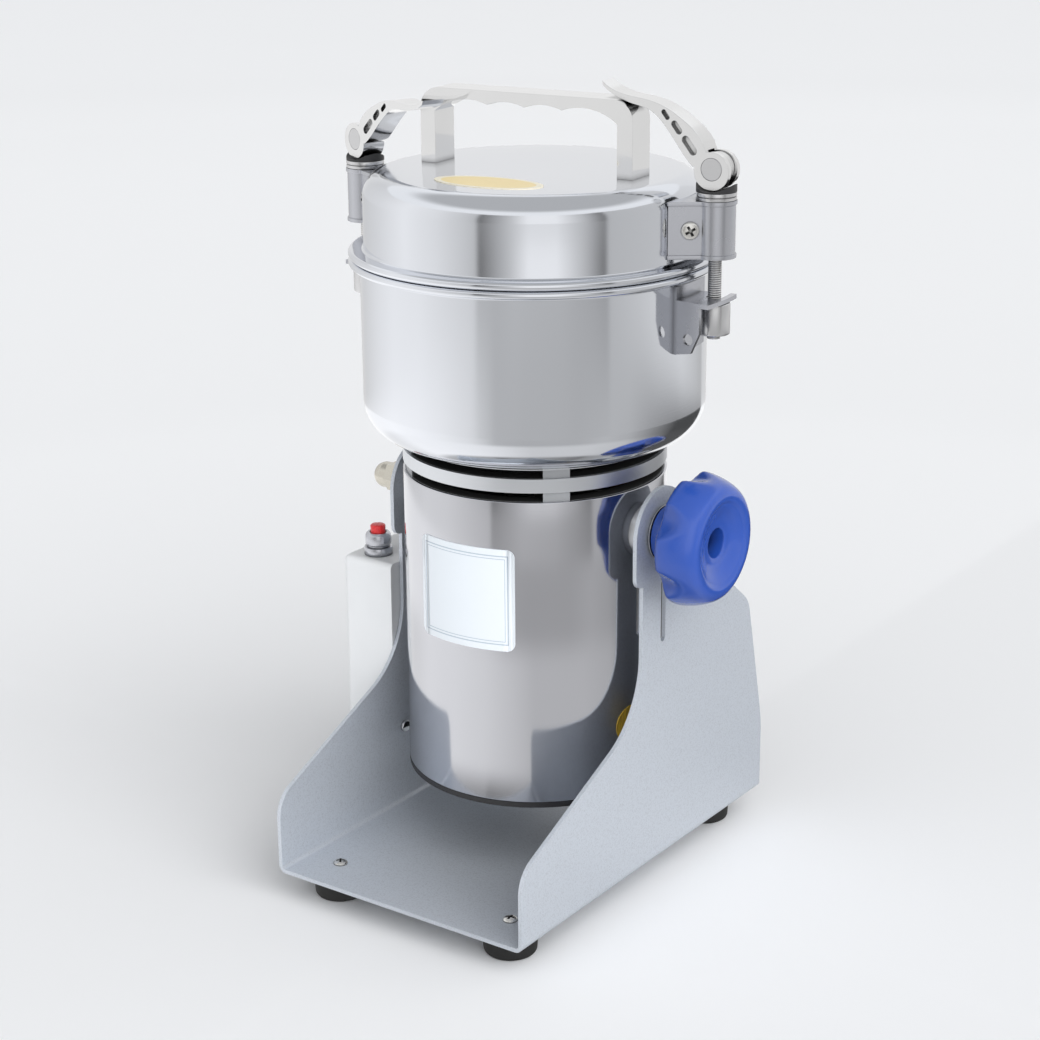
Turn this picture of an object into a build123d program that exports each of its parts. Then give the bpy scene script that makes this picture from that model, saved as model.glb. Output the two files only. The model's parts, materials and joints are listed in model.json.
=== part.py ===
"""Electric spice grinder: a tilting motor head with a clamped bowl, held in a bent sheet stand."""
import math
import os

from build123d import *

os.makedirs("parts", exist_ok=True)

# Clearances
air = 0.3
running_fit = 0.05

# Stand
sheet = 2.0
bend_radius = 4.0
stand_front = 113.3
stand_rear = 98.6
foot_height = 13.0
foot_radius = 13.0
foot_round = 2.0
foot_side_inset = 21.0
foot_inset = 20.4
pivot_height = 179.5
lip_height = 51.0
neck_drop = 84.8
neck_half = 15.7
shoulder_back = 82.7
shoulder_drop = 58.5
shoulder_slope = 0.8
ear_radius = 21.5
ear_step_drop = 22.5
ear_step_round = 5.0
lip_round = 15.5
neck_round = 43.0
shoulder_round = 17.0
rear_round = 60.0
slot_width = 4.0
slot_length = 31.0
slot_drop = 39.0
slot_back = 2.1
foot_screw_radius = 1.7
foot_screw_head = 3.3
foot_screw_depth = 8.0
screw_head_height = 1.8
screw_head_round = 1.2
cross_length = 4.6
cross_width = 1.2
cross_depth = 1.0

# Motor
motor_radius = 62.4
can_wall = 1.0
can_above_pivot = 21.1
can_height = 147.2
cover_edge = 2.6
cover_spigot = 5.0
cover_spigot_wall = 2.0
cover_slots = 16
cover_slot_ring_share = 0.609
cover_slot_share = 0.4487
cover_slot_width = 4.0
boss_reach = 6.3
boss_radius = 13.0
shaft_radius = 6.0
spindle_radius = 5.0
spindle_thread = 4.0
stack_rise = 54.6
fan_room = 16.0
stator_flat_share = 0.8173
stator_window_share = 0.7452
pole_width_share = 0.4808
pole_bore_share = 0.4728
pole_shoe = 4.5
air_gap = 1.0
coil_overhang = 10.0
winding_share = 0.3846
winding_height = 9.0
commutator_share = 0.2724
commutator_rise = 20.6
commutator_height = 20.0
brush_width = 8.0
brush_thickness = 7.0
brush_rise = 30.6
brush_end_share = 0.6731
holder_wall = 2.0
holder_gap = 2.0
holder_end_share = 0.8013
bridge_rise = 6.6
bridge_height = 10.0
bridge_arm = 14.0
bridge_rim = 4.0
fan_share = 0.8333
fan_drop = 26.6
fan_height = 12.0
fan_blades = 9
fan_disc = 2.0
fan_hub = 14.0
fan_blade_margin = 2.0
bearing_shoulder = 3.0
armature_slots = 12
armature_slot_depth = 8.0
armature_slot_width = 3.0
slot_overcut = 1.0
upper_bearing_radius = 13.0
upper_bearing_width = 8.0
upper_bearing_cover = 1.6
lower_bearing_radius = 11.0
lower_bearing_width = 7.0

# Vented collar
lower_vent = 4.55
vent_ring = 6.45
upper_vent = 5.4
collar_wall = 9.0
collar_spigot = 8.0
front_post_angle = -45.9
front_post_arc = 11.5
side_post_arc = 22.0
post_inset = 0.4
bearing_hub_wall = 4.0
spoke_width = 9.0
collar_plate = 1.2
spindle_room = 3.0

# Bowl, lid and seal
bowl_radius = 80.0
bowl_wall = 1.6
corner_lap = 0.4
bowl_height = 84.6
rim_overhang = 5.2
flange = 3.6
rim_round = 1.7
lid_wall = 1.6
lid_rise = 38.55
lid_shoulder = 11.0
spigot_depth = 5.0
seal_width = 2.5
seal_height = 1.4
bowl_screw_inset = 13.4
bowl_screw_radius = 2.0
bowl_screw_head = 4.0
bowl_screw_depth = 10.0
bowl_screw_boss = 5.0
seal_bush_radius = 11.0
seal_bush_height = 4.5

# Blades
blade_gap = 12.4
blade_width = 18.0
blade_thickness = 3.0
blade_rise = 9.0
blade_pitch = 12.0
blade_count = 3
blade_hub = 11.0
blade_nut_radius = 8.0
blade_nut_height = 7.0
spindle_proud = 2.0

# Lid handle
handle_inset = 23.1
handle_leg = 7.8
handle_depth = 16.5
handle_height = 34.75
handle_bar = 6.4
handle_corner = 9.5
scallop_pitch = 19.3
scallop_rise = 1.8
scallop_end = 4.3
outer_scallop_share = 1.55
handle_screw_radius = 2.0
handle_screw_head = 4.0
handle_screw_depth = 14.0
lid_label_length = 54.0
lid_label_width = 26.0
lid_label_inset = 35.5
lid_label_shift = 1.8
label_thickness = 0.3

# Clamps, on a line turned a little about the bowl axis
clamp_turn = 5.0
rod_outside_rim = 6.8
rod_radius = 3.0
block_nose = 8.7
block_spread = 16.0
block_waist = 6.5
block_rise = 6.7
block_plate = 1.8
block_lap = 0.6
block_height = 21.8
block_screw_radius = 2.0
block_screw_head = 4.0
block_screw_depth = 7.0
block_screw_along = 9.6
washer_radius = 9.0
washer_height = 3.6
saddle_floor = 0.5
saddle_hollow = 14.0
saddle_height = 3.9
cam_radius = 8.4
cam_offset = 0.9
lever_width = 11.6
eye_thickness = 5.6
eye_radius = 7.0
pin_radius = 3.0
pin_head_radius = 5.0
pin_head_height = 0.8
left_lever_twist = -24.0
left_lever_drop = 11.0
rod_nut_radius = 7.2
rod_nut_height = 14.3
rod_end = 2.0
fork_room = 0.8
lever_pocket_depth = 2.0
lever_pocket_slope = 52.0

# Lever outline and pockets, as shares of the room between its pin and the handle's top corner
lever_upper = [
    (0.111, 0.400), (0.281, 0.651), (0.414, 0.778), (0.546, 0.884), (0.678, 0.960), (0.811, 1.011),
    (0.973, 1.047), (1.143, 1.080), (1.276, 1.131), (1.451, 1.276),
]
lever_lower = [
    (1.438, 1.196), (1.276, 1.051), (1.049, 0.945), (0.808, 0.858), (0.676, 0.724), (0.435, 0.320),
    (0.243, 0.022),
]
lever_pockets = [
    ((0.289, 0.349), 0.257, 0.097),
    ((0.457, 0.618), 0.178, 0.081),
    ((0.605, 0.807), 0.135, 0.059),
]

# Fork brackets on the bowl
fork_sheet = 2.0
fork_drop = 11.0
fork_half_angle = 10.0
fork_end_angle = 6.0
fork_slot_half = 3.7
fork_past_rod = 6.5
cheek_past_rod = 2.0
cheek_drop = 13.6
cheek_slant = 4.5
cheek_hole_inset = 4.0
cheek_hole_drop = 16.9
cheek_hole_radius = 2.6
rivet_turn = 5.5
rivet_drop = 23.6
rivet_radius = 2.0
rivet_head = 3.4
rivet_head_height = 1.2
bracket_sheet = 1.6
bracket_height = 30.5
bracket_drop = 5.1

# Knob and left pivot
clamp_stud_radius = 5.0
pivot_bolt_radius = 4.0
stud_head_height = 3.0
stud_head_radius = 8.0
stud_seat_gap = 1.0
stud_proud = 3.0
knob_washer = 1.0
knob_radius = 31.0
knob_length = 20.8
knob_hub_radius = 13.0
knob_hub_length = 10.8
knob_lobes = 6
knob_notch = 14.0
knob_notch_depth = 5.0
knob_notch_taper = 14.0
knob_bore = 6.8
knob_bore_depth = 14.0
knob_dish = 4.4
knob_edge = [
    (0.06, 0.90), (0.17, 1.0), (0.45, 0.975), (0.73, 0.92), (0.90, 0.85), (0.98, 0.77), (1.0, 0.69),
]
knob_dish_share = 0.36
pivot_washer = 1.7
pivot_washer_radius = 9.0
lock_nut_height = 6.5
cap_nut_across = 13.0
cap_nut_hex = 7.4
cap_nut_dome = 9.3
cap_round_share = 0.95

# Plates and labels on the can
rating_start = -111.5
rating_end = -63.6
rating_height = 49.1
rating_drop = 22.6
rating_thickness = 0.4
rating_corner = 4.0
round_label_angle = -9.5
round_label_rise = 32.1
round_label_radius = 9.3

# Switch box, circuit breaker and rocker switch
box_depth = 30.0
box_front = 23.0
box_rear = 29.0
box_height = 92.0
box_drop = 37.5
box_wall = 2.4
box_round = 3.0
box_post_radius = 4.0
box_post_share = 0.7
box_screw_radius = 1.5
box_screw_head = 3.0
box_screw_depth = 12.0
breaker_out = 16.0
breaker_forward = 12.0
breaker_neck_radius = 6.5
breaker_spigot_radius = 5.0
breaker_neck_height = 11.5
breaker_body_width = 16.0
breaker_body_height = 32.0
button_radius = 3.8
button_rise = 4.0
button_depth = 7.0
button_round = 0.8
switch_rise = 40.0
rocker_length = 21.0
rocker_width = 14.0
rocker_rise = 1.6
rocker_swing = 16.0
rocker_end_room = 1.6
rocker_axis_depth = 3.0
switch_frame = 3.0
switch_frame_depth = 2.0
switch_wall = 1.2
rocker_pin_radius = 1.5
switch_body_depth = 15.0
inlet_rise = 16.0
inlet_radius = 7.5
inlet_bore = 4.0
inlet_spigot_radius = 5.5
inlet_length = 9.0

# Values that follow from the sizes above
half_turn = 180
axis_back = (stand_front - stand_rear) / 2
base_top = foot_height + sheet
neck_height = pivot_height - neck_drop
shoulder_height = pivot_height - shoulder_drop
ear_step = pivot_height - ear_step_drop
can_inner = motor_radius - can_wall
can_top = pivot_height + can_above_pivot
can_bottom = can_top - can_height
ear_inner = motor_radius + boss_reach + air
ear_outer = ear_inner + sheet
foot_side = ear_outer - foot_side_inset
ring_bottom = can_top + lower_vent
ring_top = ring_bottom + vent_ring
bowl_floor = ring_top + upper_vent
bowl_inner = bowl_radius - bowl_wall
bowl_corner = bowl_radius - motor_radius + corner_lap
bowl_top = bowl_floor + bowl_height
rim_radius = bowl_radius + rim_overhang
lid_bottom = bowl_top + air
lid_radius = bowl_inner - air
lid_inner = lid_radius - lid_wall
lid_top = lid_bottom + lid_rise
handle_half = lid_radius - handle_inset
handle_top = lid_top + handle_height
lid_label_offset = lid_radius - lid_label_inset
rod_reach = rim_radius + rod_outside_rim
block_bottom = lid_bottom + block_rise
block_top = block_bottom + 2 * block_plate + block_height
washer_top = block_top + washer_height
pin_height = washer_top + saddle_floor + air + cam_radius + cam_offset
fork_top = bowl_top - fork_drop
fork_reach = rod_reach + fork_past_rod
cheek_reach = rod_reach + cheek_past_rod
cheek_hole_reach = rod_reach - cheek_hole_inset
cheek_hole_height = fork_top - cheek_hole_drop
rivet_height = bowl_top - rivet_drop
bracket_top = bowl_top - bracket_drop
bracket_bottom = bracket_top - bracket_height
rod_nut_top = fork_top - fork_sheet - air
rod_nut_bottom = rod_nut_top - rod_nut_height
cover_slot_ring = motor_radius * cover_slot_ring_share
cover_slot_length = motor_radius * cover_slot_share
fan_radius = motor_radius * fan_share
fan_bottom = can_top - fan_drop
stack_bottom = can_bottom + stack_rise
stack_top = fan_bottom - fan_room
stack_height = stack_top - stack_bottom
stator_flat = motor_radius * stator_flat_share
stator_window = motor_radius * stator_window_share
pole_width = motor_radius * pole_width_share
pole_bore = motor_radius * pole_bore_share
armature_radius = pole_bore - air_gap
winding_radius = motor_radius * winding_share
commutator_radius = motor_radius * commutator_share
commutator_bottom = can_bottom + commutator_rise
brush_height = can_bottom + brush_rise
brush_end = motor_radius * brush_end_share
holder_start = commutator_radius + holder_gap
holder_end = motor_radius * holder_end_share
bridge_bottom = can_bottom + bridge_rise
bowl_screw_ring = motor_radius - bowl_screw_inset
blade_reach = bowl_inner - blade_gap
blade_bottom = bowl_floor + blade_rise
upper_bearing_bottom = can_top - upper_bearing_width - upper_bearing_cover
lower_bearing_bottom = bridge_bottom + bridge_height - lower_bearing_width
stud_seat = can_inner - stud_seat_gap
knob_start = ear_outer + 2 * air + knob_washer
knob_front = knob_start + knob_hub_length + knob_length
stud_end = knob_front - knob_bore_depth + stud_proud
lock_nut_start = ear_outer + air + pivot_washer
cap_nut_start = lock_nut_start + lock_nut_height
pivot_bolt_end = cap_nut_start + cap_nut_hex
nut_corner = cap_nut_across / math.sqrt(3)
rating_top = can_top - rating_drop
rating_bottom = rating_top - rating_height
round_label_height = can_bottom + round_label_rise
box_outer = ear_outer + box_depth
box_middle = (box_rear - box_front) / 2
box_top = pivot_height - box_drop
box_bottom = box_top - box_height
switch_height = box_bottom + switch_rise
inlet_height = box_bottom + inlet_rise
clamps = {"right": clamp_turn, "left": clamp_turn + half_turn}


def plan(angle, height):
    """Level plane turned about the bowl axis, its x pointing outwards."""
    a = math.radians(angle)
    return Plane((0, 0, height), x_dir=(math.cos(a), math.sin(a), 0), z_dir=(0, 0, 1))


def upright(angle):
    """Standing plane through the bowl axis, its x pointing outwards and its y up."""
    a = math.radians(angle)
    return Plane((0, 0, 0), x_dir=(math.cos(a), math.sin(a), 0), z_dir=(math.sin(a), -math.cos(a), 0))


def radial(angle, reach):
    """Standing plane facing outwards at a distance from the bowl axis, its y up."""
    a = math.radians(angle)
    out = (math.cos(a), math.sin(a), 0)
    return Plane((reach * out[0], reach * out[1], 0), x_dir=(-out[1], out[0], 0), z_dir=out)


def turned(plane, angle):
    """The same plane turned about its own normal."""
    a = math.radians(angle)
    across = plane.x_dir * math.cos(a) + plane.y_dir * math.sin(a)
    return Plane(plane.origin, x_dir=across, z_dir=plane.z_dir)


def save(piece, name):
    """Set a piece back from the motor axis, so that the middle of the base is the origin."""
    placed = piece.moved(Location((0, axis_back, 0)))
    placed.label = name
    export_step(placed, f"parts/{name}.step")


def corner_at(sketch, x, y):
    """The sketch corner nearest to a point."""
    return sketch.vertices().sort_by_distance((x, y, 0))[0]


# Bent sheet stand
foot_places = [
    (x, y)
    for x in (-foot_side, foot_side)
    for y in (foot_inset - stand_front, stand_rear - foot_inset)
]
box_post_inset = box_wall + box_post_share * box_post_radius
box_screw_places = [
    (box_post_inset - box_front, box_bottom + box_post_inset),
    (box_rear - box_post_inset, box_bottom + box_post_inset),
    (box_rear - box_post_inset, box_top - box_post_inset),
]
stand_tall = pivot_height + ear_radius
with BuildPart() as stand:
    with BuildSketch(Plane.XZ.offset(-stand_rear)) as bent:
        with Locations((0, foot_height)):
            Rectangle(2 * ear_outer, stand_tall, align=(Align.CENTER, Align.MIN))
        with Locations((0, base_top)):
            Rectangle(2 * ear_inner, stand_tall, align=(Align.CENTER, Align.MIN), mode=Mode.SUBTRACT)
        fillet([corner_at(bent, x, foot_height) for x in (-ear_outer, ear_outer)], bend_radius)
        fillet([corner_at(bent, x, base_top) for x in (-ear_inner, ear_inner)], bend_radius - sheet)
    extrude(amount=stand_rear + stand_front)
    with BuildSketch(Plane.YZ.offset(-ear_outer)) as side:
        with BuildLine():
            Polyline(
                (-stand_front, foot_height),
                (-stand_front, lip_height),
                (-neck_half, neck_height),
                (-neck_half, pivot_height),
                (shoulder_back - (pivot_height - shoulder_height) / shoulder_slope, pivot_height),
                (shoulder_back, shoulder_height),
                (stand_rear, lip_height),
                (stand_rear, foot_height),
                close=True,
            )
        make_face()
        fillet(corner_at(side, -stand_front, lip_height), lip_round)
        fillet(corner_at(side, -neck_half, neck_height), neck_round)
        fillet(corner_at(side, shoulder_back, shoulder_height), shoulder_round)
        fillet(corner_at(side, stand_rear, lip_height), rear_round)
        with Locations((0, pivot_height)):
            Circle(ear_radius)
        with Locations((-ear_radius, ear_step)):
            Rectangle(ear_radius, pivot_height - ear_step, align=(Align.MIN, Align.MIN))
        fillet(corner_at(side, -ear_radius, ear_step), ear_step_round)
    extrude(amount=2 * ear_outer, mode=Mode.INTERSECT)
    with BuildSketch(Plane.YZ.offset(ear_inner)):
        with Locations((0, pivot_height)):
            Circle(clamp_stud_radius + running_fit)
        with Locations((slot_back, pivot_height - slot_drop)):
            SlotOverall(slot_length, slot_width, rotation=90)
    extrude(amount=sheet, mode=Mode.SUBTRACT)
    with BuildSketch(Plane.YZ.offset(-ear_outer)):
        with Locations((0, pivot_height)):
            Circle(pivot_bolt_radius + running_fit)
        with Locations(*box_screw_places):
            Circle(box_screw_radius)
    extrude(amount=sheet, mode=Mode.SUBTRACT)
    with BuildSketch(Plane.XY.offset(foot_height)):
        with Locations(*foot_places):
            Circle(foot_screw_radius)
    extrude(amount=sheet, mode=Mode.SUBTRACT)
save(stand.part, "stand")

# Rubber feet and their screws
with BuildPart() as feet:
    with BuildSketch(Plane.XY):
        with Locations(*foot_places):
            Circle(foot_radius)
    extrude(amount=foot_height)
    fillet(feet.edges().group_by(Axis.Z)[0], foot_round)
    with BuildSketch(Plane.XY.offset(foot_height)):
        with Locations(*foot_places):
            Circle(foot_screw_radius)
    extrude(amount=-foot_screw_depth, mode=Mode.SUBTRACT)
save(feet.part, "feet")

with BuildPart() as foot_screws:
    with BuildSketch(Plane.XY.offset(foot_height - foot_screw_depth)):
        with Locations(*foot_places):
            Circle(foot_screw_radius)
    extrude(amount=foot_screw_depth + sheet)
    with BuildSketch(Plane.XY.offset(base_top)):
        with Locations(*foot_places):
            Circle(foot_screw_head)
    extrude(amount=screw_head_height)
    fillet(foot_screws.edges().group_by(Axis.Z)[-1], screw_head_round)
save(foot_screws.part, "foot_screws")

# Motor can with its pivot holes
with BuildPart() as motor_can:
    with BuildSketch(Plane.XY.offset(can_bottom)):
        Circle(motor_radius)
        Circle(can_inner, mode=Mode.SUBTRACT)
    extrude(amount=can_height)
    with BuildSketch(Plane.YZ):
        with Locations((0, pivot_height)):
            Circle(clamp_stud_radius)
    extrude(amount=motor_radius, mode=Mode.SUBTRACT)
    with BuildSketch(Plane.YZ):
        with Locations((0, pivot_height)):
            Circle(pivot_bolt_radius)
    extrude(amount=-motor_radius, mode=Mode.SUBTRACT)
save(motor_can.part, "motor_can")

# Pivot bosses between the can and the ears
boss_end = motor_radius + boss_reach
with BuildPart() as pivot_bosses:
    with BuildSketch(Plane.YZ.offset(-boss_end)):
        with Locations((0, pivot_height)):
            Circle(boss_radius)
    extrude(amount=2 * boss_end)
    with BuildSketch(Plane.XY.offset(can_bottom)):
        Circle(motor_radius)
    extrude(amount=can_height, mode=Mode.SUBTRACT)
    with BuildSketch(Plane.YZ):
        with Locations((0, pivot_height)):
            Circle(clamp_stud_radius)
    extrude(amount=boss_end, mode=Mode.SUBTRACT)
    with BuildSketch(Plane.YZ):
        with Locations((0, pivot_height)):
            Circle(pivot_bolt_radius)
    extrude(amount=-boss_end, mode=Mode.SUBTRACT)
save(pivot_bosses.part, "pivot_bosses")

# Stud for the knob and bolt for the left pivot, both headed inside the can
with BuildPart() as clamp_stud:
    with BuildSketch(Plane.YZ.offset(stud_seat - stud_head_height)):
        with Locations((0, pivot_height)):
            RegularPolygon(stud_head_radius, 6)
    extrude(amount=stud_head_height)
    with BuildSketch(Plane.YZ.offset(stud_seat)):
        with Locations((0, pivot_height)):
            Circle(clamp_stud_radius)
    extrude(amount=stud_end - stud_seat)
save(clamp_stud.part, "clamp_stud")

with BuildPart() as pivot_bolt:
    with BuildSketch(Plane.YZ.offset(stud_head_height - stud_seat)):
        with Locations((0, pivot_height)):
            RegularPolygon(stud_head_radius, 6)
    extrude(amount=-stud_head_height)
    with BuildSketch(Plane.YZ.offset(-stud_seat)):
        with Locations((0, pivot_height)):
            Circle(pivot_bolt_radius)
    extrude(amount=stud_seat - pivot_bolt_end)
save(pivot_bolt.part, "pivot_bolt")

# Flat washers on both pivots
with BuildPart() as pivot_washers:
    with BuildSketch(Plane.YZ.offset(ear_outer + air)):
        with Locations((0, pivot_height)):
            Circle(knob_hub_radius)
            Circle(clamp_stud_radius, mode=Mode.SUBTRACT)
    extrude(amount=knob_washer)
    with BuildSketch(Plane.YZ.offset(-ear_outer - air)):
        with Locations((0, pivot_height)):
            Circle(pivot_washer_radius)
            Circle(pivot_bolt_radius, mode=Mode.SUBTRACT)
    extrude(amount=-pivot_washer)
save(pivot_washers.part, "pivot_washers")

with BuildPart() as lock_nut:
    with BuildSketch(Plane.YZ.offset(-lock_nut_start)):
        with Locations((0, pivot_height)):
            RegularPolygon(nut_corner, 6)
            Circle(pivot_bolt_radius, mode=Mode.SUBTRACT)
    extrude(amount=-lock_nut_height)
save(lock_nut.part, "lock_nut")

cap_dome_radius = cap_nut_across / 2
with BuildPart() as cap_nut:
    with BuildSketch(Plane.YZ.offset(-cap_nut_start)):
        with Locations((0, pivot_height)):
            RegularPolygon(nut_corner, 6)
    extrude(amount=-cap_nut_hex)
    with BuildSketch(Plane.YZ.offset(-pivot_bolt_end)):
        with Locations((0, pivot_height)):
            Circle(cap_dome_radius)
    extrude(amount=-cap_nut_dome)
    fillet(cap_nut.edges().group_by(Axis.X)[0], cap_round_share * cap_dome_radius)
    with BuildSketch(Plane.YZ.offset(-cap_nut_start)):
        with Locations((0, pivot_height)):
            Circle(pivot_bolt_radius)
    extrude(amount=-cap_nut_hex, mode=Mode.SUBTRACT)
save(cap_nut.part, "cap_nut")

# Star knob: a lobed body on a round hub, tapered to a dished face with a deep bore
knob_back = knob_start + knob_hub_length
notch_ring = knob_radius + knob_notch - knob_notch_depth
with BuildPart() as knob:
    with BuildSketch(Plane.XZ) as half:
        with BuildLine():
            Polyline(
                (knob_start, pivot_height),
                (knob_start, pivot_height + knob_hub_radius),
                (knob_back, pivot_height + knob_hub_radius),
                *[(knob_back + knob_length * x, pivot_height + knob_radius * r) for x, r in knob_edge],
                (knob_front - knob_dish, pivot_height + knob_radius * knob_dish_share),
                (knob_front - knob_dish, pivot_height + knob_bore),
                (knob_front - knob_bore_depth, pivot_height + knob_bore),
                (knob_front - knob_bore_depth, pivot_height),
                close=True,
            )
        make_face()
    revolve(axis=Axis((0, 0, pivot_height), (1, 0, 0)))
    with BuildSketch(Plane.YZ.offset(knob_back)):
        with Locations((0, pivot_height)):
            with PolarLocations(notch_ring, knob_lobes):
                Circle(knob_notch)
    extrude(amount=knob_length, taper=knob_notch_taper, mode=Mode.SUBTRACT)
    with BuildSketch(Plane.YZ.offset(knob_start)):
        with Locations((0, pivot_height)):
            Circle(clamp_stud_radius + running_fit)
    extrude(amount=knob_hub_length + knob_length, mode=Mode.SUBTRACT)
save(knob.part, "knob")

# Bottom cover with vent slots
with BuildPart() as bottom_cover:
    with BuildSketch(Plane.XY.offset(can_bottom - cover_edge)):
        Circle(motor_radius)
        with PolarLocations(cover_slot_ring, cover_slots):
            SlotOverall(cover_slot_length, cover_slot_width, mode=Mode.SUBTRACT)
    extrude(amount=cover_edge)
    with BuildSketch(Plane.XY.offset(can_bottom)):
        Circle(can_inner)
        Circle(can_inner - cover_spigot_wall, mode=Mode.SUBTRACT)
    extrude(amount=cover_spigot)
save(bottom_cover.part, "bottom_cover")

# Vented collar: spigot, rings, posts, spokes and the upper bearing hub
post_angles = [front_post_angle + 90 * i for i in range(4)]
post_arcs = [front_post_arc, side_post_arc] * 2
hub_radius = upper_bearing_radius + bearing_hub_wall
collar_inner = motor_radius - collar_wall
with BuildPart() as vent_collar:
    with BuildSketch(Plane.XY.offset(can_top - collar_spigot)):
        Circle(can_inner)
        Circle(collar_inner, mode=Mode.SUBTRACT)
    extrude(amount=collar_spigot)
    with BuildSketch(Plane.XY.offset(ring_bottom)):
        Circle(motor_radius)
        Circle(collar_inner, mode=Mode.SUBTRACT)
    extrude(amount=vent_ring)
    with BuildSketch(Plane.XY.offset(bowl_floor - collar_plate)):
        Circle(motor_radius)
        Circle(spindle_radius + spindle_room, mode=Mode.SUBTRACT)
    extrude(amount=collar_plate)
    with BuildSketch(Plane.XY.offset(can_top - collar_spigot)):
        Circle(hub_radius)
    extrude(amount=collar_spigot)
    for angle, arc in zip(post_angles, post_arcs):
        with BuildSketch(upright(angle - arc / 2)):
            with Locations((collar_inner + post_inset, can_top - collar_spigot / 2)):
                Rectangle(
                    collar_wall - 2 * post_inset - can_wall,
                    bowl_floor - can_top + collar_spigot / 2 - collar_plate / 2,
                    align=(Align.MIN, Align.MIN),
                )
        revolve(axis=Axis.Z, revolution_arc=arc)
        with BuildSketch(plan(angle, can_top - collar_spigot)):
            with Locations((hub_radius - bearing_hub_wall / 2, 0)):
                Rectangle(
                    collar_inner - hub_radius + bearing_hub_wall,
                    spoke_width,
                    align=(Align.MIN, Align.CENTER),
                )
        extrude(amount=collar_spigot - post_inset)
        with BuildSketch(plan(angle, can_top)):
            with Locations((bowl_screw_ring, 0)):
                Circle(bowl_screw_boss)
        extrude(amount=bowl_floor - can_top)
        with BuildSketch(plan(angle, bowl_floor)):
            with Locations((bowl_screw_ring, 0)):
                Circle(bowl_screw_radius)
        extrude(amount=-bowl_screw_depth, mode=Mode.SUBTRACT)
    with BuildSketch(Plane.XY.offset(can_top - collar_spigot)):
        Circle(upper_bearing_radius)
    extrude(amount=upper_bearing_bottom + upper_bearing_width - can_top + collar_spigot, mode=Mode.SUBTRACT)
    with BuildSketch(Plane.XY.offset(upper_bearing_bottom)):
        Circle(spindle_radius + spindle_room)
    extrude(amount=bowl_floor - upper_bearing_bottom, mode=Mode.SUBTRACT)
save(vent_collar.part, "vent_collar")

# Laminated stator with two poles
with BuildPart() as stator_core:
    with BuildSketch(Plane.XY.offset(stack_bottom)):
        Circle(can_inner)
        Rectangle(2 * can_inner, 2 * stator_flat, mode=Mode.INTERSECT)
        Circle(stator_window, mode=Mode.SUBTRACT)
        Rectangle(2 * stator_window + collar_wall, pole_width)
        Circle(pole_bore, mode=Mode.SUBTRACT)
    extrude(amount=stack_height)
save(stator_core.part, "stator_core")

# Field coils round the poles
coil_inner = pole_bore + pole_shoe
with BuildPart() as field_coils:
    for side in (-1, 1):
        with BuildSketch(Plane.YZ.offset(side * coil_inner)):
            with Locations((0, stack_bottom + stack_height / 2)):
                Rectangle(2 * pole_width, stack_height + 2 * coil_overhang)
                Rectangle(pole_width, stack_height, mode=Mode.SUBTRACT)
        extrude(amount=side * (stator_window - coil_inner))
    with BuildSketch(Plane.XY.offset(stack_bottom - coil_overhang)):
        Circle(stator_window)
    extrude(amount=stack_height + 2 * coil_overhang, mode=Mode.INTERSECT)
save(field_coils.part, "field_coils")

# Rotor: shaft, armature, windings, commutator and fan
spindle_bottom = upper_bearing_bottom - bearing_shoulder
blade_stack_top = blade_bottom + (blade_count - 1) * blade_pitch + blade_thickness
spindle_top = blade_stack_top + blade_nut_height + spindle_proud
with BuildPart() as shaft:
    with BuildSketch(Plane.XY.offset(lower_bearing_bottom)):
        Circle(spindle_thread)
    extrude(amount=lower_bearing_width)
    with BuildSketch(Plane.XY.offset(lower_bearing_bottom + lower_bearing_width + air)):
        Circle(shaft_radius)
    extrude(amount=spindle_bottom - lower_bearing_bottom - lower_bearing_width - air)
    with BuildSketch(Plane.XY.offset(lower_bearing_bottom + lower_bearing_width)):
        Circle(spindle_thread)
    extrude(amount=air)
    with BuildSketch(Plane.XY.offset(spindle_bottom)):
        Circle(spindle_radius)
    extrude(amount=blade_stack_top - spindle_bottom)
    with BuildSketch(Plane.XY.offset(blade_stack_top)):
        Circle(spindle_thread)
    extrude(amount=spindle_top - blade_stack_top)
save(shaft.part, "shaft")

with BuildPart() as armature_core:
    with BuildSketch(Plane.XY.offset(stack_bottom)):
        Circle(armature_radius)
        Circle(shaft_radius, mode=Mode.SUBTRACT)
        with PolarLocations(armature_radius - armature_slot_depth / 2, armature_slots):
            Rectangle(armature_slot_depth + slot_overcut, armature_slot_width, mode=Mode.SUBTRACT)
    extrude(amount=stack_height)
save(armature_core.part, "armature_core")

with BuildPart() as armature_windings:
    for low in (stack_bottom - winding_height, stack_top):
        with BuildSketch(Plane.XY.offset(low)):
            Circle(winding_radius)
            Circle(shaft_radius, mode=Mode.SUBTRACT)
        extrude(amount=winding_height)
save(armature_windings.part, "armature_windings")

with BuildPart() as commutator:
    with BuildSketch(Plane.XY.offset(commutator_bottom)):
        Circle(commutator_radius)
        Circle(shaft_radius, mode=Mode.SUBTRACT)
    extrude(amount=commutator_height)
save(commutator.part, "commutator")

with BuildPart() as cooling_fan:
    with BuildSketch(Plane.XY.offset(fan_bottom)):
        Circle(fan_radius)
        Circle(shaft_radius, mode=Mode.SUBTRACT)
    extrude(amount=fan_disc)
    with BuildSketch(Plane.XY.offset(fan_bottom + fan_disc)):
        Circle(fan_hub)
        Circle(shaft_radius, mode=Mode.SUBTRACT)
        with PolarLocations((fan_radius + fan_hub) / 2, fan_blades):
            Rectangle(fan_radius - fan_hub - fan_blade_margin, fan_disc)
    extrude(amount=fan_height - fan_disc)
save(cooling_fan.part, "cooling_fan")

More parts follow.
